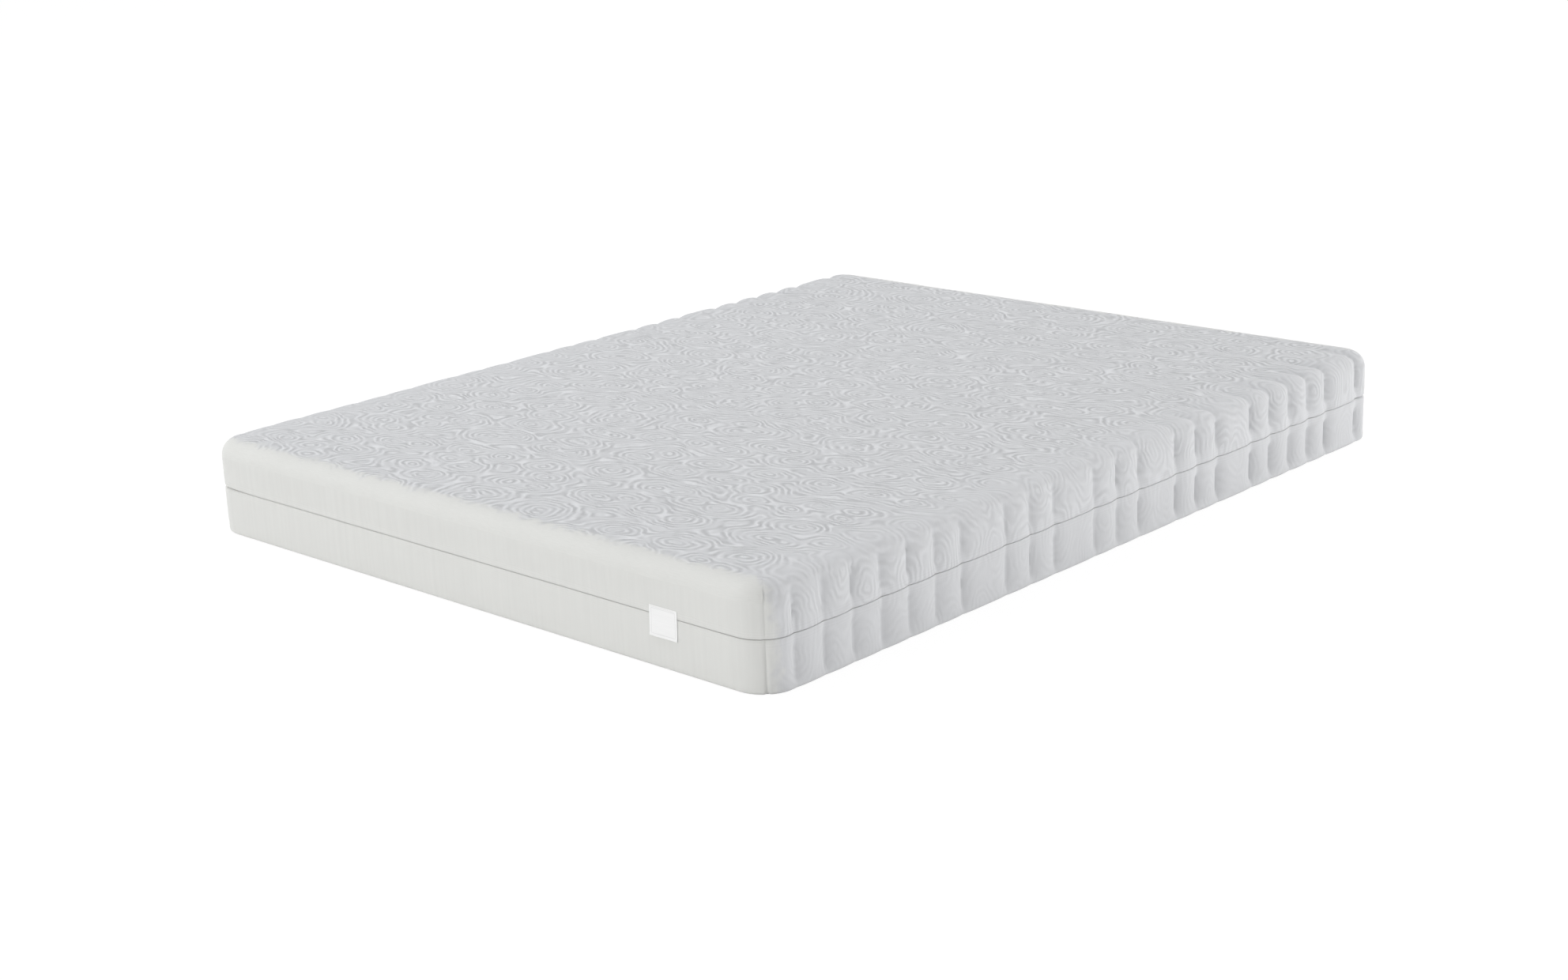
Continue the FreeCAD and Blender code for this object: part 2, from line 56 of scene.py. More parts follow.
cover = dict(
    cornerRadius=0.070,
    topRadius=0.035,
    footRadius=0.008,
    cloth=0.003,
    wadding=0.010,
    leastWadding=0.003,    # where a crease squeezes it
    pinch=0.007,        # how far the hems are drawn in at the zip
    hemBand=0.0035,     # height of the stitched band along each hem where the slider runs
    lipGap=0.0003,      # half the gap between the hems where they close over the zip
    lipFold=0.0070,     # height of the fold there
    lipShare=0.15,      # share of the pinch there, away from the corners
    lipCorner=0.9,      # share at the corners
    lipNear=0.3,        # share at the labelled corner, which is drawn in least
    hemRibs=0.55,       # share of the ribs that is left where the hems meet
    ribGroups=(7, 2, 2, 2, 4, 1),
    widePanel=0.130,
    ribDepth=0.0098,
    ribReach=0.037,     # how far a crease shapes the cloth beside it
    seamDepth=0.0026,
    seamReach=0.006,
    cell=0.0095,
    middleCell=0.016,
)
straightLong = halfLength - cover["cornerRadius"]
straightShort = halfWidth - cover["cornerRadius"]
seamTurn = cover["cornerRadius"] * math.pi / 4  # from a straight side to the corner seam


def ribEdges():
    # places along the length where one rib or wide panel meets the next
    groups = cover["ribGroups"]
    pitch = (2 * halfLength - cover["widePanel"] * (len(groups) - 1)) / sum(groups)
    place, edges = -halfLength, []
    for number, ribs in enumerate(groups):
        for _ in range(ribs):
            place += pitch
            edges.append(place)
        if number + 1 < len(groups):
            place += cover["widePanel"]
            edges.append(place)
    return np.array(edges[:-1])


creases = ribEdges()


def cornerLines(straight):
    # lines round half a corner, close together beside the seam at its middle
    share = np.array((0.0, 0.2, 0.4, 0.58, 0.74, 0.86, 0.925, 0.965, 1.0))
    return straight + seamTurn * share


def longStations():
    # lines along a long side, closer together beside each crease
    stops = [-straightLong, *creases, straightLong]
    lines = []
    for low, high in zip(stops, stops[1:]):
        cells = max(1, round((high - low) / cover["cell"] * 1.25))
        t = np.linspace(0, 1, cells + 1)[:-1]
        if cells > 3:
            t = t - 0.5 * np.sin(2 * math.pi * t) / (2 * math.pi)
        lines.extend(low + (high - low) * t)
    corner = cornerLines(straightLong)
    return np.concatenate([-corner[:0:-1], lines, corner])


def shortStations(cell):
    # lines along an end, closer together towards the corners
    cells = round(2 * straightShort / cell)
    t = np.linspace(-1, 1, cells + 1)
    lines = straightShort * (t + 0.25 * np.sin(math.pi * t) / math.pi)
    corner = cornerLines(straightShort)
    return np.concatenate([-corner[:0:-1], lines[:-1], corner])


def sidePlace(station, inset, half, straight):
    # distance out from the middle, place along the side, and the outward direction
    radius = cover["cornerRadius"]
    turn = np.maximum(np.abs(station) - straight, 0) / radius
    out = half - radius + (radius - inset) * np.cos(turn)
    along = np.sign(station) * (
        np.minimum(np.abs(station), straight) + (radius - inset) * np.sin(turn)
    )
    return out, along, np.cos(turn), np.sign(station) * np.sin(turn)


def flatPlaces(u, v, inset):
    # straight lines over a flat face, which bend only close to its rounded corners
    outX, alongY, _, _ = sidePlace(v, inset, halfWidth, straightLong)
    outY, alongX, _, _ = sidePlace(u, inset, halfLength, straightShort)
    cornerX, cornerY = outX.min(), outY.min()
    nearX = smooth(cornerX - 0.06, cornerX, np.abs(alongX))
    nearY = smooth(cornerY - 0.06, cornerY, np.abs(alongY))
    x = np.sign(u) * (np.abs(alongX) + (outX - cornerX) * nearX)
    y = np.sign(v) * (np.abs(alongY) + (outY - cornerY) * nearY)
    return x, y


def smooth(low, high, x):
    t = np.clip((x - low) / (high - low), 0, 1)
    return t * t * (3 - 2 * t)


def waves(points, size, seed):
    # soft noise in -1..1 at the given feature size, one value a point
    shift = Vector((seed * 7.31, seed * 3.17, seed * 5.53))
    return np.array([noise.noise(Vector(p) / size + shift) for p in points])


def creaseGap(v):
    return np.min(np.abs(v[:, None] - creases[None, :]), axis=1)


def ribPull(v):
    # 1 in a crease between ribs, 0 on the crest
    q = np.clip(1 - creaseGap(v) / cover["ribReach"], 0, 1)
    return 0.62 * q**2 + 0.38 * (1 - np.sqrt(1 - q**2))


def only(*chosen):
    bpy.ops.object.select_all(action="DESELECT")
    for piece in chosen:
        piece.select_set(True)
    bpy.context.view_layer.objects.active = chosen[0]


def useModifier(piece, kind, **settings):
    only(piece)
    modifier = piece.modifiers.new(kind.lower(), kind)
    for name, value in settings.items():
        setattr(modifier, name, value)
    bpy.ops.object.modifier_apply(modifier=modifier.name)


def coords(piece):
    points = np.empty(len(piece.data.vertices) * 3)
    piece.data.vertices.foreach_get("co", points)
    return points.reshape(-1, 3)


def setCoords(piece, points):
    piece.data.vertices.foreach_set("co", np.ascontiguousarray(points).ravel())
    piece.data.update()


def faceCorners(piece):
    return np.array([tuple(face.vertices) for face in piece.data.polygons])


def selectFaces(piece, chosen):
    # vertices and edges follow from the faces once edit mode is entered
    only(piece)
    mesh = piece.data
    mesh.vertices.foreach_set("select", np.zeros(len(mesh.vertices), bool))
    mesh.edges.foreach_set("select", np.zeros(len(mesh.edges), bool))
    mesh.polygons.foreach_set("select", chosen)
    bpy.ops.object.mode_set(mode="EDIT")
    bpy.ops.mesh.select_mode(type="FACE")


def takeOff(piece, chosen, name):
    selectFaces(piece, chosen)
    bpy.ops.mesh.separate(type="SELECTED")
    bpy.ops.object.mode_set(mode="OBJECT")
    taken = next(o for o in bpy.context.selected_objects if o is not piece)
    taken.name = name
    return taken


def letDown(name, cellsAcross, cellsAlong, rows, solid=False):
    # a flat grid whose rim, or whose whole face, is let down row by row
    bpy.ops.object.select_all(action="DESELECT")
    bpy.ops.mesh.primitive_grid_add(x_subdivisions=cellsAcross, y_subdivisions=cellsAlong, size=1)
    piece = bpy.context.object
    piece.name = name
    bpy.ops.object.mode_set(mode="EDIT")
    bpy.ops.mesh.select_all(action="SELECT")
    if not solid:
        bpy.ops.mesh.region_to_loop()
    for _ in range(rows):
        step = {"value": (0, 0, -1)}
        if solid:
            bpy.ops.mesh.extrude_region_move(TRANSFORM_OT_translate=step)
        else:
            bpy.ops.mesh.extrude_edges_move(TRANSFORM_OT_translate=step)
    bpy.ops.object.mode_set(mode="OBJECT")
    return (piece, *gridPlaces(piece, cellsAcross, cellsAlong))


def gridPlaces(piece, cellsAcross, cellsAlong):
    points = coords(piece)
    across = np.rint((points[:, 0] + 0.5) * cellsAcross).astype(int)
    along = np.rint((points[:, 1] + 0.5) * cellsAlong).astype(int)
    return across, along, np.rint(-points[:, 2]).astype(int)


def markShare(piece, share):
    # the part of the full thickness that each vertex gets
    group = piece.vertex_groups.new(name="share")
    for index, weight in enumerate(share):
        group.add([index], float(weight), "REPLACE")


def thicken(piece, thickness):
    # a wall inside the given face, thinner where the piece is marked so
    settings = dict(thickness=thickness, offset=-1, use_quality_normals=True)
    if "share" in piece.vertex_groups:
        settings["vertex_group"] = "share"
    useModifier(piece, "SOLIDIFY", **settings)
    piece.vertex_groups.clear()
    bpy.ops.object.shade_smooth_by_angle(angle=math.radians(60))


def mapCloth(piece, u, v):
    # the cloth's own map, in metres over its face
    layer = piece.data.uv_layers.get("cloth") or piece.data.uv_layers.new(name="cloth")
    for spare in [other for other in piece.data.uv_layers if other.name != "cloth"]:
        piece.data.uv_layers.remove(spare)
    layer = piece.data.uv_layers["cloth"]
    vertex = np.empty(len(piece.data.loops), int)
    piece.data.loops.foreach_get("vertex_index", vertex)
    layer.data.foreach_set("uv", np.stack([u[vertex], v[vertex]], 1).ravel())


def settle(piece, pinned, slack, pressure, limit):
    # the cloth swells against its pinned creases, and no point moves further than the limit
    start = coords(piece)
    for name, weights in (("pin", pinned), ("slack", slack)):
        group = piece.vertex_groups.new(name=name)
        for index in np.flatnonzero(weights > 0.001):
            group.add([int(index)], float(weights[index]), "REPLACE")
    cloth = piece.modifiers.new("cloth", "CLOTH")
    fabric = cloth.settings
    fabric.quality = 4
    fabric.mass = simulation["mass"]
    fabric.tension_stiffness = 12
    fabric.compression_stiffness = 12
    fabric.bending_stiffness = 0.4
    fabric.vertex_group_mass = "pin"
    fabric.pin_stiffness = 4
    fabric.use_pressure = True
    fabric.uniform_pressure_force = pressure
    fabric.vertex_group_shrink = "slack"
    fabric.shrink_min = 0
    fabric.shrink_max = simulation["slack"]
    fabric.effector_weights.gravity = 0
    cloth.collision_settings.use_collision = False
    cloth.point_cache.frame_end = simulation["frames"]
    for number in range(1, simulation["frames"] + 1):
        bpy.context.scene.frame_set(number)
    only(piece)
    bpy.ops.object.modifier_apply(modifier=cloth.name)
    piece.vertex_groups.clear()
    moved = coords(piece) - start
    far = np.linalg.norm(moved, axis=1)
    setCoords(piece, start + moved * np.minimum(1, limit / np.maximum(far, 1e-9))[:, None])
    bpy.context.scene.frame_set(1)
    print("settled", piece.name, "most", round(float(far.max()) * 1000, 1), "mm")


simulation = dict(frames=16, slack=-0.03, mass=0.01)


def wallPlaces(points, direction, chosen, station, other, spots, long):
    # puts the points of one pair of walls at their insets and heights
    half, straight = (halfWidth, straightLong) if long else (halfLength, straightShort)
    axis = 0 if long else 1
    inset, z, tilt = spots[chosen].T
    out, along, normalOut, normalAlong = sidePlace(station[chosen], inset, half, straight)
    sign = np.sign(other[chosen])
    points[chosen, axis] = sign * out
    points[chosen, 1 - axis] = along
    points[chosen, 2] = z
    direction[chosen, axis] = sign * normalOut * np.cos(tilt)
    direction[chosen, 1 - axis] = normalAlong * np.cos(tilt)
    direction[chosen, 2] = np.sin(tilt)


def withTilt(rows):
    # adds to each (inset, height) row the upward angle of the outward direction
    rows = np.array(rows)
    tilt = np.arctan2(-np.gradient(rows[:, 0]), -np.gradient(rows[:, 1]))
    return np.column_stack([rows, tilt])


def hemRows(full, hem, shut):
    sign = 1 if hem < full else -1
    if shut:
        # the wall folds in late and its hem closes over the zip
        hem = zipHeight + sign * cover["lipGap"]
        fold = hem + sign * cover["lipFold"]
        drawn = [(0.0, (full + fold) / 2)]
        for turn in np.linspace(0, math.pi / 2, 9)[1:]:
            drawn.append((cover["pinch"] * (1 - math.cos(turn)), fold + (hem - fold) * math.sin(turn)))
        return drawn
    # where the slider runs the wall draws in to the stitched band, then runs straight to the hem
    bandTop = hem + sign * cover["hemBand"]
    t = np.linspace(0, 1, 8)[1:]
    drawn = [(cover["pinch"] * math.sin(p * math.pi / 2) ** 2, full + (bandTop - full) * p) for p in t]
    return drawn + [(cover["pinch"], (bandTop + hem) / 2), (cover["pinch"], hem)]


def openShare(u, v, onLong):
    # 1 on the left side, where the slider runs, and nothing round the other three
    left = onLong & (u < 0)
    return left * (1 - smooth(straightLong - 0.02, straightLong + seamTurn, np.abs(v)))


def besideZip(depth, z):
    # the cloth's relief stays clear of the zip tapes behind the hems
    most = 0.0068 + np.maximum(z - upperFull, 0) + np.maximum(lowerFull - z, 0)
    return np.where(depth > 0, depth / (1 + (np.maximum(depth, 0) / most) ** 6) ** (1 / 6), depth)


def hemThickness(z, opened):
    # a single fold of cloth over the zip, the full cloth elsewhere
    away = np.abs(z - zipHeight)
    thin = 0.42 + 0.58 * smooth(0.0045, 0.0095, away)
    return np.maximum(thin, opened)


def upperRows(skin, wallCells, shut=False):
    # rows of the upper half from the rim of its flat top, at a depth inside the outer face
    radius = cover["topRadius"]
    rows = []
    for turn in np.linspace(0, math.pi / 2, 9):
        rows.append((
            radius - (radius - skin) * math.sin(turn),
            height - radius + (radius - skin) * math.cos(turn),
        ))
    wall = np.linspace(height - radius, upperFull, wallCells + 1)[1:]
    rows += [(skin, z) for z in wall]
    if skin == 0:
        rows += hemRows(upperFull, upperHem, shut)
    rows = withTilt(rows)
    rows[0, 2] = math.pi / 2
    return rows


def lowerRows(skin, wallCells, shut=False):
    # rows of the lower half from its top down
    radius = cover["footRadius"]
    foot = radius if skin == 0 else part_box("lower_wadding")[0].z
    rows = [(skin, z) for z in np.linspace(lowerFull, foot, wallCells + 1)[1:]]
    if skin == 0:
        rows = hemRows(lowerFull, lowerHem, shut)[::-1] + [(skin, lowerFull)] + rows
        for turn in np.linspace(0, math.pi / 2, 5)[1:]:
            rows.append((radius * (1 - math.cos(turn)), radius * (1 - math.sin(turn))))
    else:
        rows = [(skin, lowerFull)] + rows
    return withTilt(rows)


relief = dict(
    foot=1.05,          # share of the ribs' depth on the long sides at the foot end
    head=1.72,          # and at the head end
    edgeFoot=0.14,      # share left where the ribs reach the top
    edgeHead=0.95,
    middle=0.05,        # share that runs on right across the top
    middleHead=0.22,
    shoulder=0.0034,    # dip over the top ends of the ribs
    broad=0.0010,
    small=0.0005,
    lower=0.92,         # share of the ribs' depth in the lower half
)


def coverRelief(points, v, tilt, onLong, onShort):
    # how far the cloth lies inside its plain outline, and its ribs' share of that
    y, z = points[:, 1], points[:, 2]
    head = smooth(-0.35, 0.95, y)
    fromSide = halfWidth - np.abs(points[:, 0])
    wander = waves(points * np.array((0.35, 1, 0.35)), 0.09, 1) * 0.003
    pull = ribPull(v + wander)
    onEdge = relief["edgeFoot"] + (relief["edgeHead"] - relief["edgeFoot"]) * head
    reach = 0.045 + 0.075 * head
    acrossTop = relief["middle"] + relief["middleHead"] * head**2
    top = acrossTop + (onEdge - acrossTop) * (1 - smooth(0.034, 0.034 + reach, fromSide))
    top *= 1 - smooth(halfLength - 0.11, halfLength - 0.03, np.abs(y))
    wall = relief["foot"] + (relief["head"] - relief["foot"]) * head
    lift = smooth(0.15, 0.75, np.sin(np.clip(tilt, 0, math.pi / 2)))
    share = np.where(onLong, wall + (onEdge - wall) * lift, top)
    share[onShort] = 0
    ribs = cover["ribDepth"] * pull * share
    shoulder = np.exp(-(((z - height + 0.022) / 0.008) ** 2)) * (1 - 0.8 * head)
    ribs += relief["shoulder"] * shoulder * onLong * (1 - 0.5 * pull)
    uneven = relief["broad"] * waves(points, 0.16, 2) + relief["small"] * waves(points, 0.05, 3)
    return ribs, uneven


def seamDip(u, v, onLong, onShort):
    # the corner seams draw the walls in
    long = straightLong + seamTurn - np.abs(v)
    short = straightShort + seamTurn - np.abs(u)
    gap = np.where(onLong, long, np.where(onShort, short, 1.0))
    return 1 - smooth(0, cover["seamReach"], gap)


def innerDepth(u, v, tilt, onLong, onShort):
    # how deep the padding may reach before it meets the foam, away from its grooves
    corner = (onLong & (np.abs(v) > straightLong)) | (onShort & (np.abs(u) > straightShort))
    side = np.where(corner, foam["cornerRoom"], foam["sideRoom"])
    share = np.where(onLong | onShort, np.sin(np.clip(tilt, 0, math.pi / 2)) ** 2, 1.0)
    return side + (foam["topRoom"] - side) * share


foam = dict(
    inset=0.015,
    grooveRadius=0.014,
    grooveDepth=0.012,
    channelDepth=0.008,
    topRadius=0.024,
    footRadius=0.010,
    softEdge=0.0015,
    sideRoom=0.0140,    # depth kept for cloth and wadding beside the core
    cornerRoom=0.0128,
    topRoom=0.0128,
)


def foamGroove(v, depth):
    radius = foam["grooveRadius"]
    return np.maximum(0, np.sqrt(np.maximum(radius**2 - creaseGap(v) ** 2, 0)) - radius + depth)


def mixRows(shut, opened, k, share, u, v, onLong):
    # the closed hems are drawn in most at the corners
    past = np.where(onLong, np.abs(v) - straightLong, np.abs(u) - straightShort)
    atCorner = np.where((u > 0) & (v < 0), cover["lipNear"], cover["lipCorner"])
    spots = shut[k]
    spots[:, 2] = 0     # the ribs draw the folds straight in, so that the hems still meet
    spots[:, 0] *= cover["lipShare"] + (atCorner - cover["lipShare"]) * smooth(-0.07, seamTurn * 0.4, past)
    return spots + (opened[k] - spots) * share[:, None]


def buildUpper(name, skin, lines, wallCells):
    # top, rounded edge and walls in one go, at a depth inside the outer face
    acrossLines, alongLines = lines
    rows = upperRows(skin, wallCells)
    cellsAcross, cellsAlong = len(acrossLines) - 1, len(alongLines) - 1
    piece, i, j, k = letDown(name, cellsAcross, cellsAlong, len(rows) - 1)
    u, v = acrossLines[i], alongLines[j]
    points, direction = np.zeros((len(i), 3)), np.zeros((len(i), 3))
    points[:, 0], points[:, 1] = flatPlaces(u, v, cover["topRadius"])
    points[:, 2] = height - skin
    direction[:, 2] = 1
    down = k > 0
    onLong = down & ((i == 0) | (i == cellsAcross))
    onShort = down & ~onLong
    opened = openShare(u, v, onLong)
    spots = rows[k] if skin else mixRows(upperRows(0, wallCells, True), rows, k, opened, u, v, onLong)
    aside = (rows[k, 1] > upperFull)[:, None]
    spots = np.where(aside, rows[k], spots)
    wallPlaces(points, direction, onLong, v, u, spots, True)
    wallPlaces(points, direction, onShort, u, v, spots, False)
    tilt = rows[k, 2]
    ribs, uneven = coverRelief(points, v, tilt, onLong, onShort)
    hem = zipHeight + cover["lipGap"] + (upperHem - zipHeight) * opened
    free = np.where(down, smooth(hem + 0.002, upperFull + 0.012, points[:, 2]), 1)
    held = cover["hemRibs"] * (1 - opened)
    free = held + (1 - held) * free
    seam = seamDip(u, v, onLong, onShort) * smooth(0.0, 0.9, 1 - np.sin(np.abs(tilt)))
    depth = (ribs + uneven) * free + cover["seamDepth"] * 0.55 * seam * free
    depth = besideZip(depth, points[:, 2])
    runs = np.concatenate([[0], np.cumsum(np.hypot(*np.diff(rows[:, :2], axis=0).T))])
    shape = dict(i=i, j=j, k=k, u=u, v=v, tilt=tilt, onLong=onLong, onShort=onShort, free=free)
    shape.update(depth=depth, cells=(cellsAcross, cellsAlong))
    shape["cloth"] = hemThickness(points[:, 2], opened)
    setCoords(piece, points - direction * depth[:, None])
    clothU = np.where(onLong, np.sign(u) * (halfWidth - cover["topRadius"] + runs[k]), points[:, 0])
    clothV = np.where(onShort, np.sign(v) * (halfLength - cover["topRadius"] + runs[k]), points[:, 1])
    mapCloth(piece, clothU, clothV)
    return piece, shape


clothLines = (shortStations(cover["middleCell"]), longStations())

upperWrap, upper = buildUpper("upperWrap", 0, clothLines, 8)
pinned = np.where(upper["free"] < 0.9, 1.0, 0.25)
pinned = np.maximum(pinned, smooth(0.55, 0.9, ribPull(upper["v"])) * (upper["onLong"] | (upper["k"] == 0)))
pinned[upper["k"] == 0] = np.maximum(pinned[upper["k"] == 0], 0.7)
slackened = upper["onLong"] * (1 - pinned)
settle(upperWrap, pinned, slackened, pressure=14, limit=0.003)
markShare(upperWrap, upper["cloth"])

cornersOfFaces = faceCorners(upperWrap)
below = upper["k"][cornersOfFaces].min(1) >= 8
isFoot = below & (upper["j"][cornersOfFaces] == 0).all(1)
isHead = below & (upper["j"][cornersOfFaces] == upper["cells"][1]).all(1)
upperFoot = takeOff(upperWrap, isFoot, "upperEndFoot")
upperHead = takeOff(upperWrap, isHead[~isFoot], "upperEndHead")
for piece in (upperWrap, upperFoot, upperHead):
    thicken(piece, cover["cloth"])
print("upper cover", len(upperWrap.data.polygons))


def buildLower(name, skin, lines, wallCells):
    # four walls let down from the hem, at a depth inside the outer face
    acrossLines, alongLines = lines
    rows = lowerRows(skin, wallCells)
    cellsAcross, cellsAlong = len(acrossLines) - 1, len(alongLines) - 1
    piece, i, j, k = letDown(name, cellsAcross, cellsAlong, len(rows) - 1)
    selectFaces(piece, (k[faceCorners(piece)] == 0).all(1))
    bpy.ops.mesh.delete(type="FACE")
    bpy.ops.object.mode_set(mode="OBJECT")
    i, j, k = gridPlaces(piece, cellsAcross, cellsAlong)
    u, v = acrossLines[i], alongLines[j]
    points, direction = np.zeros((len(i), 3)), np.zeros((len(i), 3))
    onLong = (i == 0) | (i == cellsAcross)
    opened = openShare(u, v, onLong)
    spots = rows[k] if skin else mixRows(lowerRows(0, wallCells, True), rows, k, opened, u, v, onLong)
    aside = (rows[k, 1] < lowerFull)[:, None]
    spots = np.where(aside, rows[k], spots)
    wallPlaces(points, direction, onLong, v, u, spots, True)
    wallPlaces(points, direction, ~onLong, u, v, spots, False)
    tilt = rows[k, 2]
    ribs, uneven = coverRelief(points, v, np.zeros(len(i)), onLong, ~onLong)
    hem = zipHeight - cover["lipGap"] - (zipHeight - lowerHem) * opened
    free = 1 - smooth(lowerFull - 0.012, hem - 0.002, points[:, 2])
    held = cover["hemRibs"] * (1 - opened)
    free = held + (1 - held) * free
    foot = smooth(0.0, 0.026, points[:, 2])
    ribs = ribs * relief["lower"] * free * (0.12 + 0.88 * foot)
    seam = seamDip(u, v, onLong, ~onLong) * cover["seamDepth"]
    depth = besideZip(ribs + uneven * free * foot + seam * free, points[:, 2])
    placed = points - direction * depth[:, None]
    placed[:, 2] = np.maximum(placed[:, 2], 0)
    setCoords(piece, placed)
    runs = np.concatenate([[0], np.cumsum(np.hypot(*np.diff(rows[:, :2], axis=0).T))])
    middle = halfWidth - cover["topRadius"] + 0.12
    along = np.where(onLong, v, u)
    mapCloth(piece, middle + runs[k], along)
    shape = dict(i=i, j=j, k=k, u=u, v=v, tilt=tilt, onLong=onLong, free=free, ribs=ribs)
    shape.update(cells=(cellsAcross, cellsAlong), foot=foot, cloth=hemThickness(points[:, 2], opened))
    return piece, shape


lowerRight, lower = buildLower("lowerSideRight", 0, clothLines, 12)
pinned = np.where((lower["free"] < 0.9) | (lower["foot"] < 0.98), 1.0, 0.25)
pinned = np.maximum(pinned, smooth(0.55, 0.9, ribPull(lower["v"])) * lower["onLong"])
settle(lowerRight, pinned, lower["onLong"] * (1 - pinned), pressure=14, limit=0.003)
markShare(lowerRight, lower["cloth"])

cornersOfFaces = faceCorners(lowerRight)
isFoot = (lower["j"][cornersOfFaces] == 0).all(1)
isHead = (lower["j"][cornersOfFaces] == lower["cells"][1]).all(1)
isLeft = (lower["i"][cornersOfFaces] == 0).all(1)
lowerFoot = takeOff(lowerRight, isFoot, "lowerEndFoot")
isHead, isLeft = isHead[~isFoot], isLeft[~isFoot]
lowerHead = takeOff(lowerRight, isHead, "lowerEndHead")
lowerLeft = takeOff(lowerRight, isLeft[~isHead], "lowerSideLeft")
for piece in (lowerRight, lowerFoot, lowerHead, lowerLeft):
    thicken(piece, cover["cloth"])
print("lower cover", len(lowerRight.data.polygons))


# wadding behind the cloth, squeezed where a crease draws the cloth in

paddingLines = (shortStations(0.032), longStations())


def buildWadding():
    skin = cover["cloth"]
    top, shape = buildUpper("upperWadding", skin, paddingLines, 5)
    room = innerDepth(shape["u"], shape["v"], shape["tilt"], shape["onLong"], shape["onShort"])
    thickness = np.clip(room - skin - shape["depth"], cover["leastWadding"], cover["wadding"])
    markShare(top, thickness / cover["wadding"])
    thicken(top, cover["wadding"])
    foot, shape = buildLower("lowerWadding", skin, paddingLines, 7)
    room = innerDepth(shape["u"], shape["v"], np.zeros(len(shape["v"])), shape["onLong"], ~shape["onLong"])
    thickness = np.clip(room - skin - shape["ribs"], cover["leastWadding"], cover["wadding"])
    markShare(foot, thickness / cover["wadding"])
    thicken(foot, cover["wadding"])
    return top, foot


upperWadding, lowerWadding = buildWadding()
print("wadding", len(upperWadding.data.polygons))


def flatSheet(name, inset, low, high, lines, sag=None):
    # a flat piece with the plan of the mattress at a depth inside the cover
    acrossLines, alongLines = lines
    piece, i, j, _ = letDown(name, len(acrossLines) - 1, len(alongLines) - 1, 0)
    u, v = acrossLines[i], alongLines[j]
    x, y = flatPlaces(u, v, inset)
    points = np.stack([x, y, np.full(len(x), high)], 1)
    if sag is not None:
        points[:, 2] -= sag(points, u, v)
    setCoords(piece, points)
    mapCloth(piece, points[:, 0], points[:, 1])
    thicken(piece, high - low)
    return piece


def backingSag(points, u, v):
    # follows the underside of the wadding into the channels of the foam
    flat = np.zeros(len(u), bool)
    ribs, uneven = coverRelief(points, v, np.full(len(u), math.pi / 2), flat, flat)
    squeezed = cover["cloth"] + cover["leastWadding"]
    sag = ribs + uneven + squeezed - foam["topRoom"]
    return np.clip(sag, 0, 0.6 * foamGroove(v, foam["channelDepth"]))


def sheetLow(node):
    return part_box(node)[0].z


def sheetHigh(node):
    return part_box(node)[1].z


plainLines = (shortStations(0.05), np.unique(np.concatenate([longStations()[::3], longStations()[-1:]])))
backingPiece = flatSheet(
    "upperBacking", cover["topRadius"], sheetLow("upper_backing"), sheetHigh("upper_backing"),
    (shortStations(0.05), longStations()), backingSag,
)
feltPiece = flatSheet(
    "baseFelt", foam["inset"], sheetLow("base_felt"), sheetHigh("base_felt"), plainLines
)


baseRise = dict(least=0.0005, uneven=0.0005, seam=0.0012, most=0.0018)


def baseSag(points, u, v):
    # lifts a little between the points where it rests, and rises into the seam round its rim
    rim = np.minimum(halfWidth - np.abs(points[:, 0]), halfLength - np.abs(points[:, 1]))
    rise = baseRise["least"] + baseRise["uneven"] * waves(points, 0.12, 6)
    seam = baseRise["seam"] * (1 - smooth(0.008, 0.02, rim))
    return -np.clip(rise + seam, 0, baseRise["most"])


basePanel = flatSheet(
    "basePanel", cover["footRadius"], 0.0, cover["cloth"] - baseRise["most"],
    (shortStations(0.02), longStations()), baseSag
)
print("flat layers")


def foamStations():
    # lines along the core that follow each groove
    steps = foam["grooveRadius"] * np.array((0.0, 0.3, 0.55, 0.75, 0.9, 0.985))
    marks = np.concatenate([creases + step for step in (*steps, *-steps[1:])])
    marks = np.unique(np.concatenate([marks, [-straightLong, straightLong]]).round(6))
    marks = marks[np.abs(marks) <= straightLong]
    lines = []
    for low, high in zip(marks, marks[1:]):
        lines.extend(np.linspace(low, high, max(1, round((high - low) / 0.016)) + 1)[:-1])
    corner = cornerLines(straightLong)
    return np.concatenate([-corner[:0:-1], lines, corner])


def quarterRows(radius, steps, high, top):
    # insets and heights round an outline edge
    rows = []
    for turn in np.linspace(0, math.pi / 2, steps + 1):
        rows.append((radius * (1 - math.sin(turn)), high - radius * (1 - math.cos(turn))))
    return rows if top else [(inset, 2 * high - z) for inset, z in rows[::-1]]


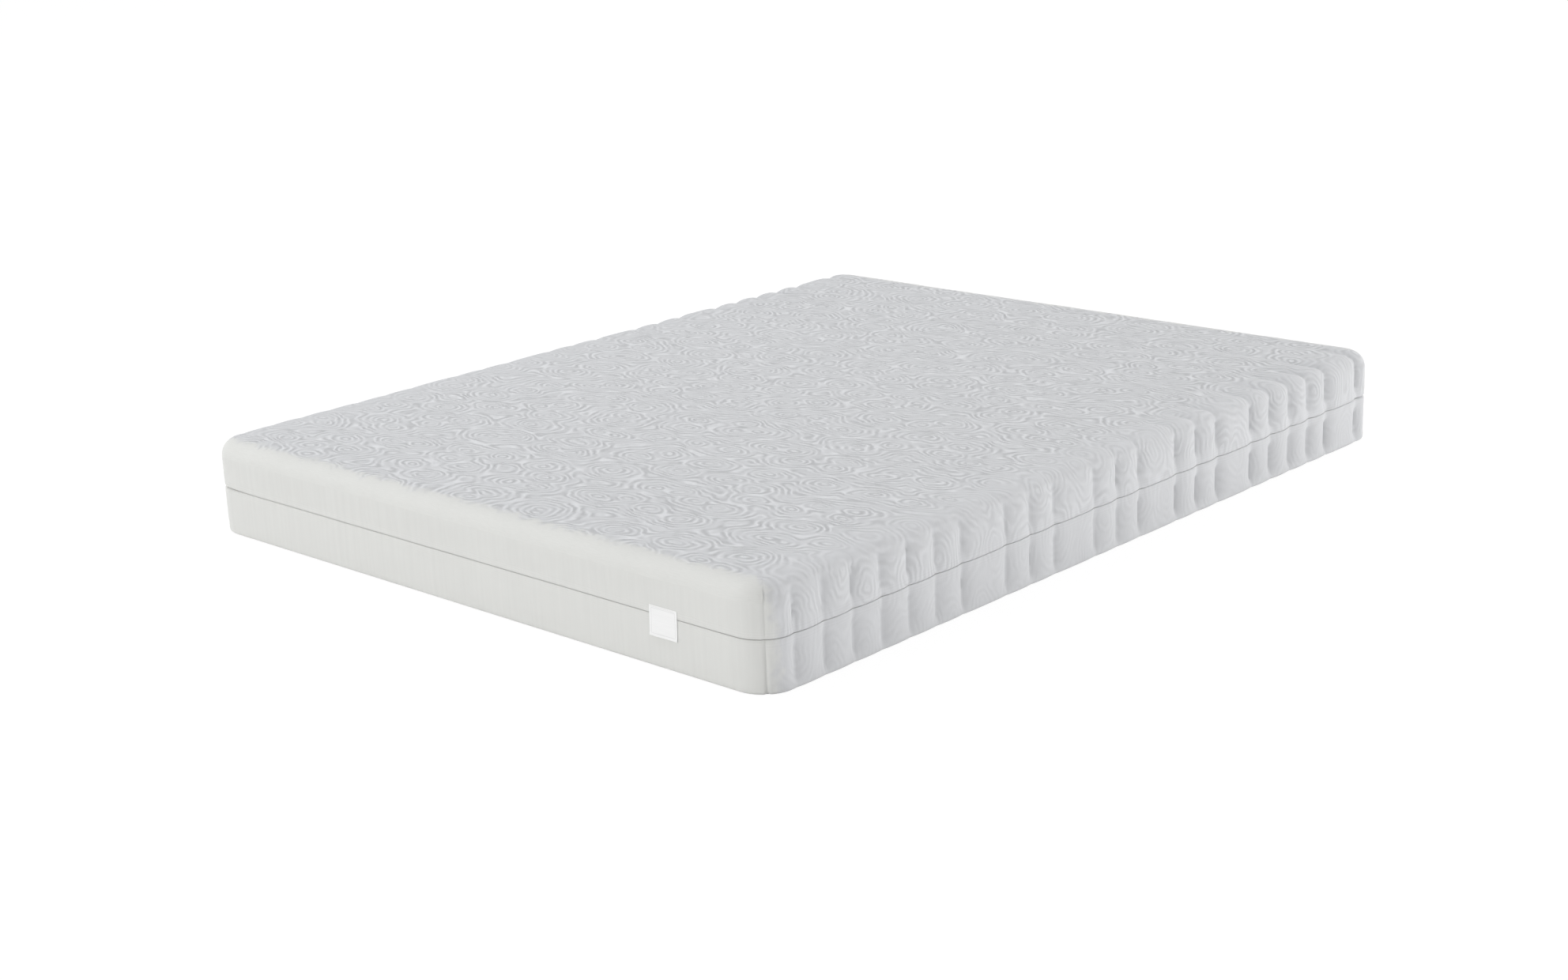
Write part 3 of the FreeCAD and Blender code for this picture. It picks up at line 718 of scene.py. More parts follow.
def foamLayer(name, node, topRadius, footRadius, channels):
    # a slab with grooves down its long sides, and channels across its top if it has them
    low, high = sheetLow(node), sheetHigh(node)
    rows = quarterRows(topRadius, 6 if topRadius > 0.01 else 2, high, True)
    rows += [(0, high - topRadius + (low + footRadius - high + topRadius) * t) for t in (0.33, 0.67)]
    rows += quarterRows(footRadius, 4 if footRadius > 0.005 else 2, low, False)
    rows = np.array(rows)
    acrossLines, alongLines = shortStations(0.045), foamStations()
    cellsAcross, cellsAlong = len(acrossLines) - 1, len(alongLines) - 1
    last = len(rows) - 1
    piece, i, j, k = letDown(name, cellsAcross, cellsAlong, last, solid=True)
    u, v = acrossLines[i], alongLines[j]
    groove = foamGroove(v, foam["grooveDepth"])
    channel = foamGroove(v, foam["channelDepth"]) * channels
    onLong = (i == 0) | (i == cellsAcross)
    onRim = onLong | (j == 0) | (j == cellsAlong)
    points, direction = np.zeros((len(i), 3)), np.zeros((len(i), 3))
    for level in (0, last):
        flat = (k == level) & ~onRim
        inset = rows[level, 0]
        x, y = flatPlaces(u, v, foam["inset"] + inset)
        near = np.clip(1 - (halfWidth - foam["inset"] - inset - np.abs(x)) / 0.06, 0, 1) ** 2
        x = x - np.sign(x) * np.maximum(groove - inset, 0) * near
        points[flat] = np.stack([x, y, np.full(len(x), rows[level, 1])], 1)[flat]
    placed = np.column_stack([rows[:, 0] + foam["inset"], rows[:, 1], np.zeros(len(rows))])
    wallPlaces(points, direction, onRim & ~onLong, u, v, placed[k], False)
    wallPlaces(points, direction, onLong, v, u, placed[k], True)
    shift = np.maximum(groove - rows[k, 0], 0) * onLong
    points -= direction * shift[:, None]
    points[:, 2] = np.minimum(points[:, 2], np.where(k == last, 1, high - channel))
    setCoords(piece, points)
    only(piece)
    bpy.ops.object.shade_smooth_by_angle(angle=math.radians(50))
    return piece


memoryLayer = foamLayer("memoryFoamLayer", "memory_foam_layer", foam["topRadius"], foam["softEdge"], 1)
comfortLayer = foamLayer("comfortFoamLayer", "comfort_foam_layer", foam["softEdge"], foam["softEdge"], 0)
supportCore = foamLayer("supportFoamCore", "support_foam_core", foam["softEdge"], foam["footRadius"], 0)
print("foam core", len(memoryLayer.data.polygons))


# trimmings that run round the cover

def wayRound(begin, finish, step, cornerSteps):
    # the outline from one place on the left side all the way round to another
    stops = [(-halfWidth, begin, 180.0)]
    for signX, signY, first in ((-1, -1, 180), (1, -1, 270), (1, 1, 0), (-1, 1, 90)):
        for turn in np.linspace(first, first + 90, cornerSteps + 1):
            a = math.radians(turn)
            stops.append((
                signX * straightShort + cover["cornerRadius"] * math.cos(a),
                signY * straightLong + cover["cornerRadius"] * math.sin(a),
                turn,
            ))
    stops.append((-halfWidth, finish, 180.0))
    way = []
    for (x0, y0, a0), (x1, y1, a1) in zip(stops, stops[1:]):
        pieces = max(1, round(math.hypot(x1 - x0, y1 - y0) / step))
        turned = 0.0 if a0 % 360 == a1 % 360 else a1 - a0
        for t in np.linspace(0, 1, pieces + 1)[:-1]:
            way.append((x0 + (x1 - x0) * t, y0 + (y1 - y0) * t, a0 + turned * t))
    way.append(stops[-1])
    x, y, turn = np.array(way).T
    return x, y, np.radians(turn)


def runStrip(name, section, way, closed=False):
    # sweeps an (inset, height) outline along a way round the mattress
    x, y, turn = way
    outline = np.array([*section, section[0]])
    piece, i, j, _ = letDown(name, len(x) - 1, len(outline) - 1, 0)
    inset, z = outline[j].T
    points = np.stack([x[i] - np.cos(turn[i]) * inset, y[i] - np.sin(turn[i]) * inset, z], 1)
    setCoords(piece, points)
    along = np.concatenate([[0], np.cumsum(np.hypot(np.diff(x), np.diff(y)))])
    girth = np.concatenate([[0], np.cumsum(np.hypot(*np.diff(outline, axis=0).T))])
    mapCloth(piece, girth[j], along[i])
    only(piece)
    bpy.ops.object.mode_set(mode="EDIT")
    bpy.ops.mesh.select_all(action="SELECT")
    bpy.ops.mesh.remove_doubles(threshold=0.00002)
    if not closed:
        bpy.ops.mesh.select_all(action="DESELECT")
        bpy.ops.mesh.select_non_manifold()
        bpy.ops.mesh.edge_face_add()
        bpy.ops.mesh.select_all(action="SELECT")
    bpy.ops.mesh.normals_make_consistent(inside=False)
    bpy.ops.object.mode_set(mode="OBJECT")
    bpy.ops.object.shade_smooth_by_angle(angle=math.radians(40))
    return piece


zipper = dict(
    gapLow=0.900, gapHigh=0.912,    # where the chain's two ends face each other
    tapeInset=0.0100, tapeThickness=0.0010, behindCoil=0.01225, tapeGap=0.0007,
    coilInset=0.0105, coilRadius=0.0013, coilWire=0.0004, coilWide=1.28, pitch=0.0030,
    stitch=0.0040, stitchLong=0.0013, stitchWide=0.00036,
)
chainWay = wayRound(zipper["gapLow"], zipper["gapHigh"], 0.05, 10)


def tapeSection(low, high, coilBelow):
    # flat tape with a rounded selvedge, stepping in to pass behind its coil
    near, far = zipper["tapeInset"], zipper["tapeInset"] + zipper["tapeThickness"]
    behind, thin = zipper["behindCoil"], 0.0002
    selvedge, step, sign = (high, low, 1) if coilBelow else (low, high, -1)
    edge = zipHeight + sign * zipper["tapeGap"]
    section = [
        (near, step), (near, selvedge - sign * 0.0004), (near + 0.0003, selvedge),
        (far - 0.0003, selvedge), (far, selvedge - sign * 0.0004), (far, step + sign * thin),
        (behind + thin, step + sign * thin), (behind + thin, edge), (behind, edge), (behind, step),
    ]
    return section


upperTape = runStrip(
    "zipTapeUpper", tapeSection(sheetLow("zip_tape_upper"), sheetHigh("zip_tape_upper"), True), chainWay
)
lowerTape = runStrip(
    "zipTapeLower", tapeSection(sheetLow("zip_tape_lower"), sheetHigh("zip_tape_lower"), False), chainWay
)


def wayCurve(name, inset, z, way):
    # a helper curve for what is repeated along the zip
    x, y, turn = way
    data = bpy.data.curves.new(name, "CURVE")
    data.dimensions = "3D"
    data.twist_mode = "Z_UP"
    spline = data.splines.new("POLY")
    spline.points.add(len(x) - 1)
    px, py = x - np.cos(turn) * inset, y - np.sin(turn) * inset
    spline.points.foreach_set("co", np.stack([px, py, np.full(len(x), z), np.ones(len(x))], 1).ravel())
    curve = bpy.data.objects.new(name, data)
    bpy.context.collection.objects.link(curve)
    return curve, float(np.hypot(np.diff(px), np.diff(py)).sum())


def repeatAlong(piece, inset, z, way, pitch):
    # copies a small shape at the origin along the way, X running forward
    curve, reach = wayCurve(piece.name + "Way", inset, z, way)
    useModifier(
        piece, "ARRAY", fit_type="FIXED_COUNT", count=int(reach / pitch), use_relative_offset=False,
        use_constant_offset=True, constant_offset_displace=(pitch, 0, 0),
    )
    useModifier(piece, "CURVE", object=curve, deform_axis="POS_X")
    bpy.data.objects.remove(curve)
    only(piece)
    bpy.ops.object.shade_smooth()
    return piece


def zipCoil(name, z):
    # one leaning turn of the coil, repeated
    bpy.ops.object.select_all(action="DESELECT")
    bpy.ops.mesh.primitive_torus_add(
        major_segments=7, minor_segments=4, major_radius=zipper["coilRadius"] - zipper["coilWire"],
        minor_radius=zipper["coilWire"], rotation=(0, math.pi / 2, 0),
    )
    turn = bpy.context.object
    turn.name = name
    bpy.ops.object.transform_apply(location=True, rotation=True, scale=True)
    points = coords(turn)
    points[:, 1] *= zipper["coilWide"]
    points[:, 0] += points[:, 1] * 0.55 + zipper["pitch"] / 2
    setCoords(turn, points)
    way = wayRound(zipper["gapLow"] - 0.001, zipper["gapHigh"] + 0.001, 0.2, 24)
    return repeatAlong(turn, zipper["coilInset"], z, way, zipper["pitch"])


def stitchRow(name, inset, z):
    # a row of thread stitches down the left side, each a small spindle
    bpy.ops.object.select_all(action="DESELECT")
    bpy.ops.mesh.primitive_ico_sphere_add(subdivisions=1, radius=1)
    stitch = bpy.context.object
    stitch.name = name
    stitch.scale = (zipper["stitchLong"], zipper["stitchWide"], zipper["stitchWide"])
    bpy.ops.object.transform_apply(location=True, rotation=True, scale=True)
    points = coords(stitch)
    points[:, 0] += zipper["stitch"] / 2
    setCoords(stitch, points)
    y = np.linspace(straightLong - 0.02, -straightLong + 0.02, 12)
    way = (np.full(12, -halfWidth), y, np.full(12, math.pi))
    return repeatAlong(stitch, inset, z, way, zipper["stitch"])


def middleHeight(node):
    return (sheetLow(node) + sheetHigh(node)) / 2


upperCoil = zipCoil("zipCoilUpper", middleHeight("zip_coil_upper"))
lowerCoil = zipCoil("zipCoilLower", middleHeight("zip_coil_lower"))
hemStitches = cover["pinch"] - 0.00015
upperStitches = stitchRow("hemStitchesUpper", hemStitches, upperHem + 0.0019)
lowerStitches = stitchRow("hemStitchesLower", hemStitches, lowerHem - 0.0019)
print("zip chain", len(upperCoil.data.polygons), len(upperStitches.data.polygons))

beadLow, beadHigh = sheetLow("base_edge_seam"), sheetHigh("base_edge_seam")
beadSection = [
    (0.0080, beadLow), (0.0080, beadHigh - 0.0006), (0.0088, beadHigh), (0.0105, beadHigh - 0.0003),
    (0.0125, beadHigh), (0.0138, beadHigh - 0.0006), (0.0140, beadLow),
]
edgeSeam = runStrip("baseEdgeSeam", beadSection, wayRound(0.0, 0.0, 0.05, 10), closed=True)


def cornerTape(name, low, high):
    # a strip of binding on each of the four corner seams
    inner = cover["cornerRadius"] - cover["cloth"] - cover["wadding"]
    strips = []
    for signX in (-1, 1):
        for signY in (-1, 1):
            strip, i, j, _ = letDown(name, 8, 16, 0)
            turn = math.radians(45) + math.radians(20) * (i / 8 - 0.5)
            z = low + (high - low) * j / 16
            edge = np.abs(i / 8 - 0.5) * 2
            radius = inner - 0.0001 - 0.0003 * (edge > 0.8) + 0.0002 * np.sin(z * 400) * (edge > 0.9)
            points = np.stack([
                signX * (straightShort + radius * np.cos(turn)),
                signY * (straightLong + radius * np.sin(turn)), z,
            ], 1)
            setCoords(strip, points)
            mapCloth(strip, (turn - math.pi / 4) * inner, z)
            if signX * signY > 0:
                only(strip)
                bpy.ops.object.mode_set(mode="EDIT")
                bpy.ops.mesh.select_all(action="SELECT")
                bpy.ops.mesh.flip_normals()
                bpy.ops.object.mode_set(mode="OBJECT")
            thicken(strip, -0.0008)
            strips.append(strip)
    only(*strips)
    bpy.ops.object.join()
    strips[0].name = name
    return strips[0]


upperBinding = cornerTape(
    "upperCornerTapes", sheetLow("upper_corner_tapes"), sheetHigh("upper_corner_tapes")
)
lowerBinding = cornerTape(
    "lowerCornerTapes", sheetLow("lower_corner_tapes"), sheetHigh("lower_corner_tapes")
)
print("bindings")


# slider, pull and stops

def block(name, low, high, round=0.0, axis=2, segments=4, soften=0.0002):
    # a bar from corner to corner, its four edges along one axis rounded, the rest softened
    low, high = Vector(low), Vector(high)
    bpy.ops.object.select_all(action="DESELECT")
    bpy.ops.mesh.primitive_cube_add(size=1, location=(low + high) / 2, scale=high - low)
    piece = bpy.context.object
    piece.name = name
    bpy.ops.object.transform_apply(location=True, rotation=True, scale=True)
    if round:
        bpy.ops.object.mode_set(mode="EDIT")
        bpy.ops.mesh.select_mode(type="EDGE")
        bpy.ops.mesh.select_all(action="DESELECT")
        bpy.ops.object.mode_set(mode="OBJECT")
        for edge in piece.data.edges:
            a, b = (piece.data.vertices[index].co for index in edge.vertices)
            edge.select = abs((a - b)[axis]) > 1e-6
        bpy.ops.object.mode_set(mode="EDIT")
        bpy.ops.mesh.bevel(offset=round, segments=segments, affect="EDGES")
        bpy.ops.object.mode_set(mode="OBJECT")
    if soften:
        useModifier(
            piece, "BEVEL", width=soften, segments=2, limit_method="ANGLE", angle_limit=math.radians(40)
        )
    return piece


def cutWith(piece, tool):
    useModifier(piece, "BOOLEAN", operation="DIFFERENCE", object=tool, solver="EXACT")
    bpy.data.objects.remove(tool)


def upright(name, x, y, low, high, radius, sides=24):
    bpy.ops.object.select_all(action="DESELECT")
    bpy.ops.mesh.primitive_cylinder_add(
        vertices=sides, radius=radius, depth=high - low, location=(x, y, (low + high) / 2)
    )
    piece = bpy.context.object
    piece.name = name
    bpy.ops.object.transform_apply(location=True, rotation=True, scale=True)
    return piece


def joined(name, *parts):
    only(*parts)
    bpy.ops.object.join()
    parts[0].name = name
    bpy.ops.object.shade_smooth_by_angle(angle=math.radians(35))
    return parts[0]


slider = dict(plate=0.0015, crown=0.0026, crownLong=0.0052, crownWide=0.0035, bore=0.00088, rim=0.0009)


def buildSlider():
    low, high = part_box("zip_slider")
    face = low.x + slider["crown"]
    middleY, middleZ = (low.y + high.y) / 2, (low.z + high.z) / 2
    plate = block(
        "sliderPlate", (face, low.y, low.z), (face + slider["plate"], high.y, high.z), 0.0032, axis=0,
        soften=0
    )
    only(plate)
    front = np.array([side.normal.x < -0.9 for side in plate.data.polygons])
    selectFaces(plate, front)
    bpy.ops.mesh.inset(thickness=slider["rim"])
    bpy.ops.transform.translate(value=(-0.0003, 0, 0))
    bpy.ops.mesh.inset(thickness=0.0003)
    bpy.ops.transform.translate(value=(0.0002, 0, 0))
    bpy.ops.object.mode_set(mode="OBJECT")
    points = coords(plate)          # narrower at the end that meets the closed chain
    taper = (points[:, 1] - low.y) / (high.y - low.y)
    points[:, 2] = middleZ + (points[:, 2] - middleZ) * (0.78 + 0.22 * smooth(0.0, 0.8, taper))
    setCoords(plate, points)
    useModifier(
        plate, "BEVEL", width=0.00022, segments=2, limit_method="ANGLE", angle_limit=math.radians(35)
    )
    pivotX = low.x + slider["crown"] / 2
    crown = block(
        "sliderCrown", (low.x, middleY - slider["crownLong"] / 2, middleZ - slider["crownWide"] / 2),
        (face + 0.0002, middleY + slider["crownLong"] / 2, middleZ + slider["crownWide"] / 2), 0.0012,
    )
    cutWith(crown, upright("bore", pivotX, middleY, low.z, high.z, slider["bore"]))
    back = high.x - 0.001
    post = block(
        "sliderPost", (face + 0.001, middleY - 0.003, middleZ - 0.0005),
        (back + 0.0002, middleY + 0.003, middleZ + 0.0005), 0.0004
    )
    rear = block(
        "sliderBack", (back, low.y, low.z + 0.0005), (high.x, high.y, high.z - 0.0005), 0.003, axis=0
    )
    lip = block(
        "sliderLip", (back - 0.0012, low.y + 0.001, low.z + 0.0005),
        (back + 0.0002, high.y - 0.001, low.z + 0.0013)
    )
    return joined("zipSlider", plate, crown, post, rear, lip)


pull = dict(pinRadius=0.0008, window=0.008, leg=0.0016, recess=0.00035, slot=0.0026)


def buildPull():
    low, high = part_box("zip_pull")
    middleZ = (low.z + high.z) / 2
    pinY, pinX = high.y - pull["pinRadius"], (low.x + high.x) / 2
    thin = 0.0001
    tab = block(
        "pullTab", (low.x + thin, low.y, low.z), (high.x - thin, pinY, high.z), 0.0026, axis=0, soften=0
    )
    for side in (-1, 1):            # a shallow recess in each face
        faces = np.array([face.normal.x * side > 0.9 for face in tab.data.polygons])
        selectFaces(tab, faces)
        bpy.ops.mesh.inset(thickness=0.0011)
        bpy.ops.transform.translate(value=(-side * pull["recess"], 0, 0))
        bpy.ops.object.mode_set(mode="OBJECT")
    legGap = (high.z - low.z) / 2 - 0.00035 - pull["leg"]
    cutWith(tab, block(
        "pullWindow", (low.x - 0.001, pinY - pull["window"], middleZ - legGap),
        (high.x + 0.001, high.y + 0.004, middleZ + legGap), 0.0012, axis=0, soften=0,
    ))
    cutWith(tab, block(
        "pullSlot", (low.x - 0.001, low.y + 0.0035, middleZ - pull["slot"] / 2),
        (high.x + 0.001, low.y + 0.0095, middleZ + pull["slot"] / 2), 0.0012, axis=0, soften=0,
    ))
    useModifier(tab, "BEVEL", width=0.00018, segments=2, limit_method="ANGLE", angle_limit=math.radians(35))
    pin = upright("pullPin", pinX, pinY, low.z + 0.00035, high.z - 0.00035, pull["pinRadius"])
    ridges = []
    for number in range(4):
        y = low.y + 0.0118 + number * 0.0016
        ridges.append(block(
            f"pullRidge{number}", (low.x + 0.0002, y, middleZ - 0.0022),
            (high.x - 0.0002, y + 0.0006, middleZ + 0.0022)
        ))
    return joined("zipPull", tab, pin, *ridges)


stopShape = dict(long=0.004, rounded=0.0008, grooveFrom=0.0017, grooveTo=0.0023, grooveDeep=0.0003)


def buildStops(name, node):
    low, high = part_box(node)
    stops = []
    for start in (low.y, high.y - stopShape["long"]):
        stop = block(
            name, (low.x, start, low.z), (high.x, start + stopShape["long"], high.z),
            stopShape["rounded"], axis=1, soften=0.0002,
        )
        groove = block(
            "stopGroove", (low.x - 0.001, start + stopShape["grooveFrom"], low.z - 0.001),
            (low.x + stopShape["grooveDeep"], start + stopShape["grooveTo"], high.z + 0.001), soften=0,
        )
        cutWith(stop, groove)
        stops.append(stop)
    return joined(name, *stops)


zipSlider = buildSlider()
zipPull = buildPull()
upperStops = buildStops("zipStopsUpper", "zip_stops_upper")
lowerStops = buildStops("zipStopsLower", "zip_stops_lower")
print("slider and pull")


# cloth labels

label = dict(curl=0.0022, sway=0.0007, thickness=0.0006, hem=0.0035, trim=0.004)


def labelBox(node):
    low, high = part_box(node)
    trim = Vector((0, 0, label["trim"]))
    return low + trim, high - trim


def clothLabel(name, node, side, sewn):
    # sewn along its top edge, hanging free below, with a turned hem at the foot
    low, high = labelBox(node)
    cellsAcross, cellsDown = 34, 32
    piece, i, j, _ = letDown(name, cellsAcross, cellsDown, 0)
    s, t = i / cellsAcross, j / cellsDown
    x = low.x + (high.x - low.x) * s
    z = low.z + (high.z - low.z) * t
    out = np.abs(low.y if side < 0 else high.y) - 0.0002
    hang = np.clip((high.z - sewn - z) / (high.z - low.z), 0, 1)
    lift = label["curl"] * hang**2 * (0.75 + 0.25 * s) + label["sway"] * np.sin(s * 5.2 + 0.6) * hang
    lift += 0.0005 * ((z - low.z) < label["hem"]) - 0.0003 * np.exp(-(((z - high.z + sewn) / 0.0012) ** 2))
    setCoords(piece, np.stack([x, side * (out + lift), z], 1))
    mapCloth(piece, x - low.x, z - low.z)
    if side > 0:
        only(piece)
        bpy.ops.object.mode_set(mode="EDIT")
        bpy.ops.mesh.select_all(action="SELECT")
        bpy.ops.mesh.flip_normals()
        bpy.ops.object.mode_set(mode="OBJECT")
    thicken(piece, label["thickness"])
    return piece


def labelStitches(name, node, side, sewn):
    low, high = labelBox(node)
    bpy.ops.object.select_all(action="DESELECT")
    bpy.ops.mesh.primitive_ico_sphere_add(subdivisions=2, radius=1)
    stitch = bpy.context.object
    stitch.name = name
    stitch.scale = (zipper["stitchLong"], 0.0003, 0.0003)
    bpy.ops.object.transform_apply(location=True, rotation=True, scale=True)
    pitch = 0.0036
    count = int((high.x - low.x - 0.004) / pitch)
    useModifier(
        stitch, "ARRAY", count=count, use_relative_offset=False, use_constant_offset=True,
        constant_offset_displace=(pitch, 0, 0),
    )
    points = coords(stitch)
    points[:, 0] += low.x + 0.0035
    points[:, 1] += side * (abs(low.y if side < 0 else high.y) - 0.0001)
    points[:, 2] += high.z - sewn
    setCoords(stitch, points)
    bpy.ops.object.shade_smooth()
    return stitch


brandLabel = clothLabel("label", "label", -1, 0.0025)
brandLabel.name = "endLabel"
endLabelStitches = labelStitches("endLabelStitches", "label", -1, 0.0025)
careLabel = clothLabel("careLabel", "care_label", 1, 0.0025)
careLabelStitches = labelStitches("careLabelStitches", "care_label", 1, 0.0025)
print("labels")


# node helpers

def newGroup(name, inputs, outputs):
    tree = bpy.data.node_groups.new(name, "ShaderNodeTree")
    for title, kind, value in inputs:
        socket = tree.interface.new_socket(title, in_out="INPUT", socket_type="NodeSocket" + kind)
        socket.default_value = value
    for title in outputs:
        tree.interface.new_socket(title, in_out="OUTPUT", socket_type="NodeSocketFloat")
    return tree, tree.nodes.new("NodeGroupInput").outputs, tree.nodes.new("NodeGroupOutput").inputs


def plug(tree, source, socket):
    if isinstance(source, bpy.types.NodeSocket):
        tree.links.new(source, socket)
    else:
        socket.default_value = source


def place(tree, kind, sources=None, **settings):
    node = tree.nodes.new("ShaderNode" + kind)
    for name, value in settings.items():
        setattr(node, name, value)
    for name, source in (sources or {}).items():
        plug(tree, source, node.inputs[name])
    return node


def sums(tree, operation, *values, clamp=False):
    node = place(tree, "Math", operation=operation, use_clamp=clamp)
    for socket, value in zip(node.inputs, values):
        plug(tree, value, socket)
    return node.outputs[0]


def vectors(tree, operation, *values):
    node = place(tree, "VectorMath", operation=operation)
    for socket, value in zip(node.inputs, values):
        plug(tree, value, socket)
    return node.outputs[0]


def swirlGroup():
    # nested rings round scattered middles, as knitted into the cloth
    tree, given, out = newGroup(
        "swirls",
        [
            ("Vector", "Vector", (0, 0, 0)), ("Cell", "Float", 0.075), ("Pitch", "Float", 0.009),
            ("Wander", "Float", 0.05)
        ],
        ["Height"],
    )
    drift = place(
        tree, "TexNoise", {"Vector": given["Vector"], "Scale": 11.0, "Detail": 3.0, "Roughness": 0.55}
    )
    moved = vectors(tree, "SUBTRACT", drift.outputs["Color"], (0.5, 0.5, 0.5))
    scaled = place(tree, "VectorMath", {"Scale": given["Wander"]}, operation="SCALE")
    tree.links.new(moved, scaled.inputs[0])
    spot = vectors(tree, "ADD", given["Vector"], scaled.outputs[0])
    spot = vectors(tree, "MULTIPLY", spot, (0.62, 1.0, 1.0))
    cells = place(
        tree, "TexVoronoi",
        {"Vector": spot, "Scale": sums(tree, "DIVIDE", 1.0, given["Cell"]), "Smoothness": 0.35},
        feature="SMOOTH_F1", voronoi_dimensions="2D",
    )
    rings = sums(
        tree, "MULTIPLY", cells.outputs["Distance"], sums(tree, "DIVIDE", given["Cell"], given["Pitch"])
    )
    wave = sums(tree, "SINE", sums(tree, "MULTIPLY", rings, 2 * math.pi))
    # the rings break off here and there
    gaps = place(tree, "TexNoise", {"Vector": given["Vector"], "Scale": 34.0, "Detail": 1.0})
    kept = place(
        tree, "MapRange", {"Value": gaps.outputs["Fac"], "From Min": 0.36, "From Max": 0.58, "To Min": 0.15}
    ).outputs[0]
    plug(tree, sums(tree, "MULTIPLY_ADD", sums(tree, "MULTIPLY", wave, kept), 0.5, 0.5), out["Height"])
    return tree


def knitGroup():
    # wales and courses of a fine knit
    tree, given, out = newGroup(
        "fineKnit",
        [("Vector", "Vector", (0, 0, 0)), ("Wale", "Float", 0.0016), ("Course", "Float", 0.0013)],
        ["Height"],
    )
    axes = place(tree, "SeparateXYZ", {"Vector": given["Vector"]})
    across = sums(tree, "MULTIPLY", sums(tree, "DIVIDE", axes.outputs[0], given["Wale"]), math.pi)
    along = sums(tree, "MULTIPLY", sums(tree, "DIVIDE", axes.outputs[1], given["Course"]), 2 * math.pi)
    lean = sums(tree, "MULTIPLY", sums(tree, "ABSOLUTE", sums(tree, "SINE", across)), 2.4)
    loop = sums(tree, "SINE", sums(tree, "ADD", along, lean))
    wale = sums(tree, "ABSOLUTE", sums(tree, "SINE", across))
    plug(tree, sums(tree, "MULTIPLY", wale, sums(tree, "MULTIPLY_ADD", loop, 0.3, 0.7)), out["Height"])
    return tree


def weaveGroup():
    # plain weave: threads that pass over and under each other
    tree, given, out = newGroup(
        "plainWeave",
        [("Vector", "Vector", (0, 0, 0)), ("Warp", "Float", 0.0012), ("Weft", "Float", 0.0009)],
        ["Height"]
    )
    axes = place(tree, "SeparateXYZ", {"Vector": given["Vector"]})
    warp = sums(
        tree, "SINE",
        sums(tree, "MULTIPLY", sums(tree, "DIVIDE", axes.outputs[0], given["Warp"]), math.pi)
    )
    weft = sums(
        tree, "SINE",
        sums(tree, "MULTIPLY", sums(tree, "DIVIDE", axes.outputs[1], given["Weft"]), math.pi)
    )
    over = sums(tree, "MULTIPLY_ADD", sums(tree, "MULTIPLY", warp, weft), 3.0, 0.5, clamp=True)
    warpUp = sums(tree, "MULTIPLY", sums(tree, "ABSOLUTE", warp), over)
    weftUp = sums(tree, "MULTIPLY", sums(tree, "ABSOLUTE", weft), sums(tree, "SUBTRACT", 1.0, over))
    plug(tree, sums(tree, "MAXIMUM", warpUp, weftUp), out["Height"])
    return tree


def toneGroup():
    # slow, uneven change over a surface: stretched along the axes that the scale makes small
    tree, given, out = newGroup(
        "unevenTone",
        [("Vector", "Vector", (0, 0, 0)), ("Scale", "Vector", (10, 10, 10)), ("Amount", "Float", 0.05)],
        ["Tone"]
    )
    spot = vectors(tree, "MULTIPLY", given["Vector"], given["Scale"])
    cloud = place(tree, "TexNoise", {"Vector": spot, "Scale": 1.0, "Detail": 4.0, "Roughness": 0.55})
    swing = sums(tree, "MULTIPLY", sums(tree, "SUBTRACT", cloud.outputs["Fac"], 0.5), given["Amount"])
    plug(tree, sums(tree, "MULTIPLY_ADD", swing, 2.0, 1.0), out["Tone"])
    return tree


def cellsGroup():
    # open foam cells of two sizes
    tree, given, out = newGroup(
        "foamCells", [("Vector", "Vector", (0, 0, 0)), ("Cell", "Float", 0.0016)], ["Height", "Pore"]
    )
    size = sums(tree, "DIVIDE", 1.0, given["Cell"])
    small = place(tree, "TexVoronoi", {"Vector": given["Vector"], "Scale": size, "Randomness": 1.0})
    large = place(
        tree, "TexVoronoi", {"Vector": given["Vector"], "Scale": sums(tree, "MULTIPLY", size, 0.31)}
    )
    pore = sums(tree, "SUBTRACT", 1.0, sums(tree, "MULTIPLY", large.outputs["Distance"], 2.6), clamp=True)
    plug(
        tree, sums(tree, "SUBTRACT", small.outputs["Distance"], sums(tree, "MULTIPLY", pore, 0.9)),
        out["Height"]
    )
    plug(tree, pore, out["Pore"])
    return tree


swirls, fineKnit, plainWeave, unevenTone, foamCells = (
    swirlGroup(), knitGroup(), weaveGroup(), toneGroup(), cellsGroup()
)


def useGroup(tree, group, **sources):
    node = tree.nodes.new("ShaderNodeGroup")
    node.node_tree = group
    for name, source in sources.items():
        plug(tree, source, node.inputs[name])
    return node.outputs


def newFinish(name, roughness, sheen=0.0, metallic=0.0):
    material = bpy.data.materials.new(name)
    material.use_nodes = True
    shader = material.node_tree.nodes["Principled BSDF"]
    shader.inputs["Roughness"].default_value = roughness
    shader.inputs["Metallic"].default_value = metallic
    shader.inputs["Sheen Weight"].default_value = sheen
    shader.inputs["Sheen Roughness"].default_value = 0.5
    shader.inputs["Specular IOR Level"].default_value = 0.5 if metallic else 0.25
    return material, material.node_tree, shader


def tinted(tree, shader, colour, *tones):
    # the base colour times every tone, each of them about 1
    tone = tones[0]
    for other in tones[1:]:
        tone = sums(tree, "MULTIPLY", tone, other)
    shade = place(tree, "VectorMath", {0: colour}, operation="SCALE")
    plug(tree, tone, shade.inputs["Scale"])
    tree.links.new(shade.outputs[0], shader.inputs["Base Color"])


def bumped(tree, shader, height, depth):
    bump = place(tree, "Bump", {"Height": height, "Strength": 1.0, "Distance": depth})
    tree.links.new(bump.outputs[0], shader.inputs["Normal"])


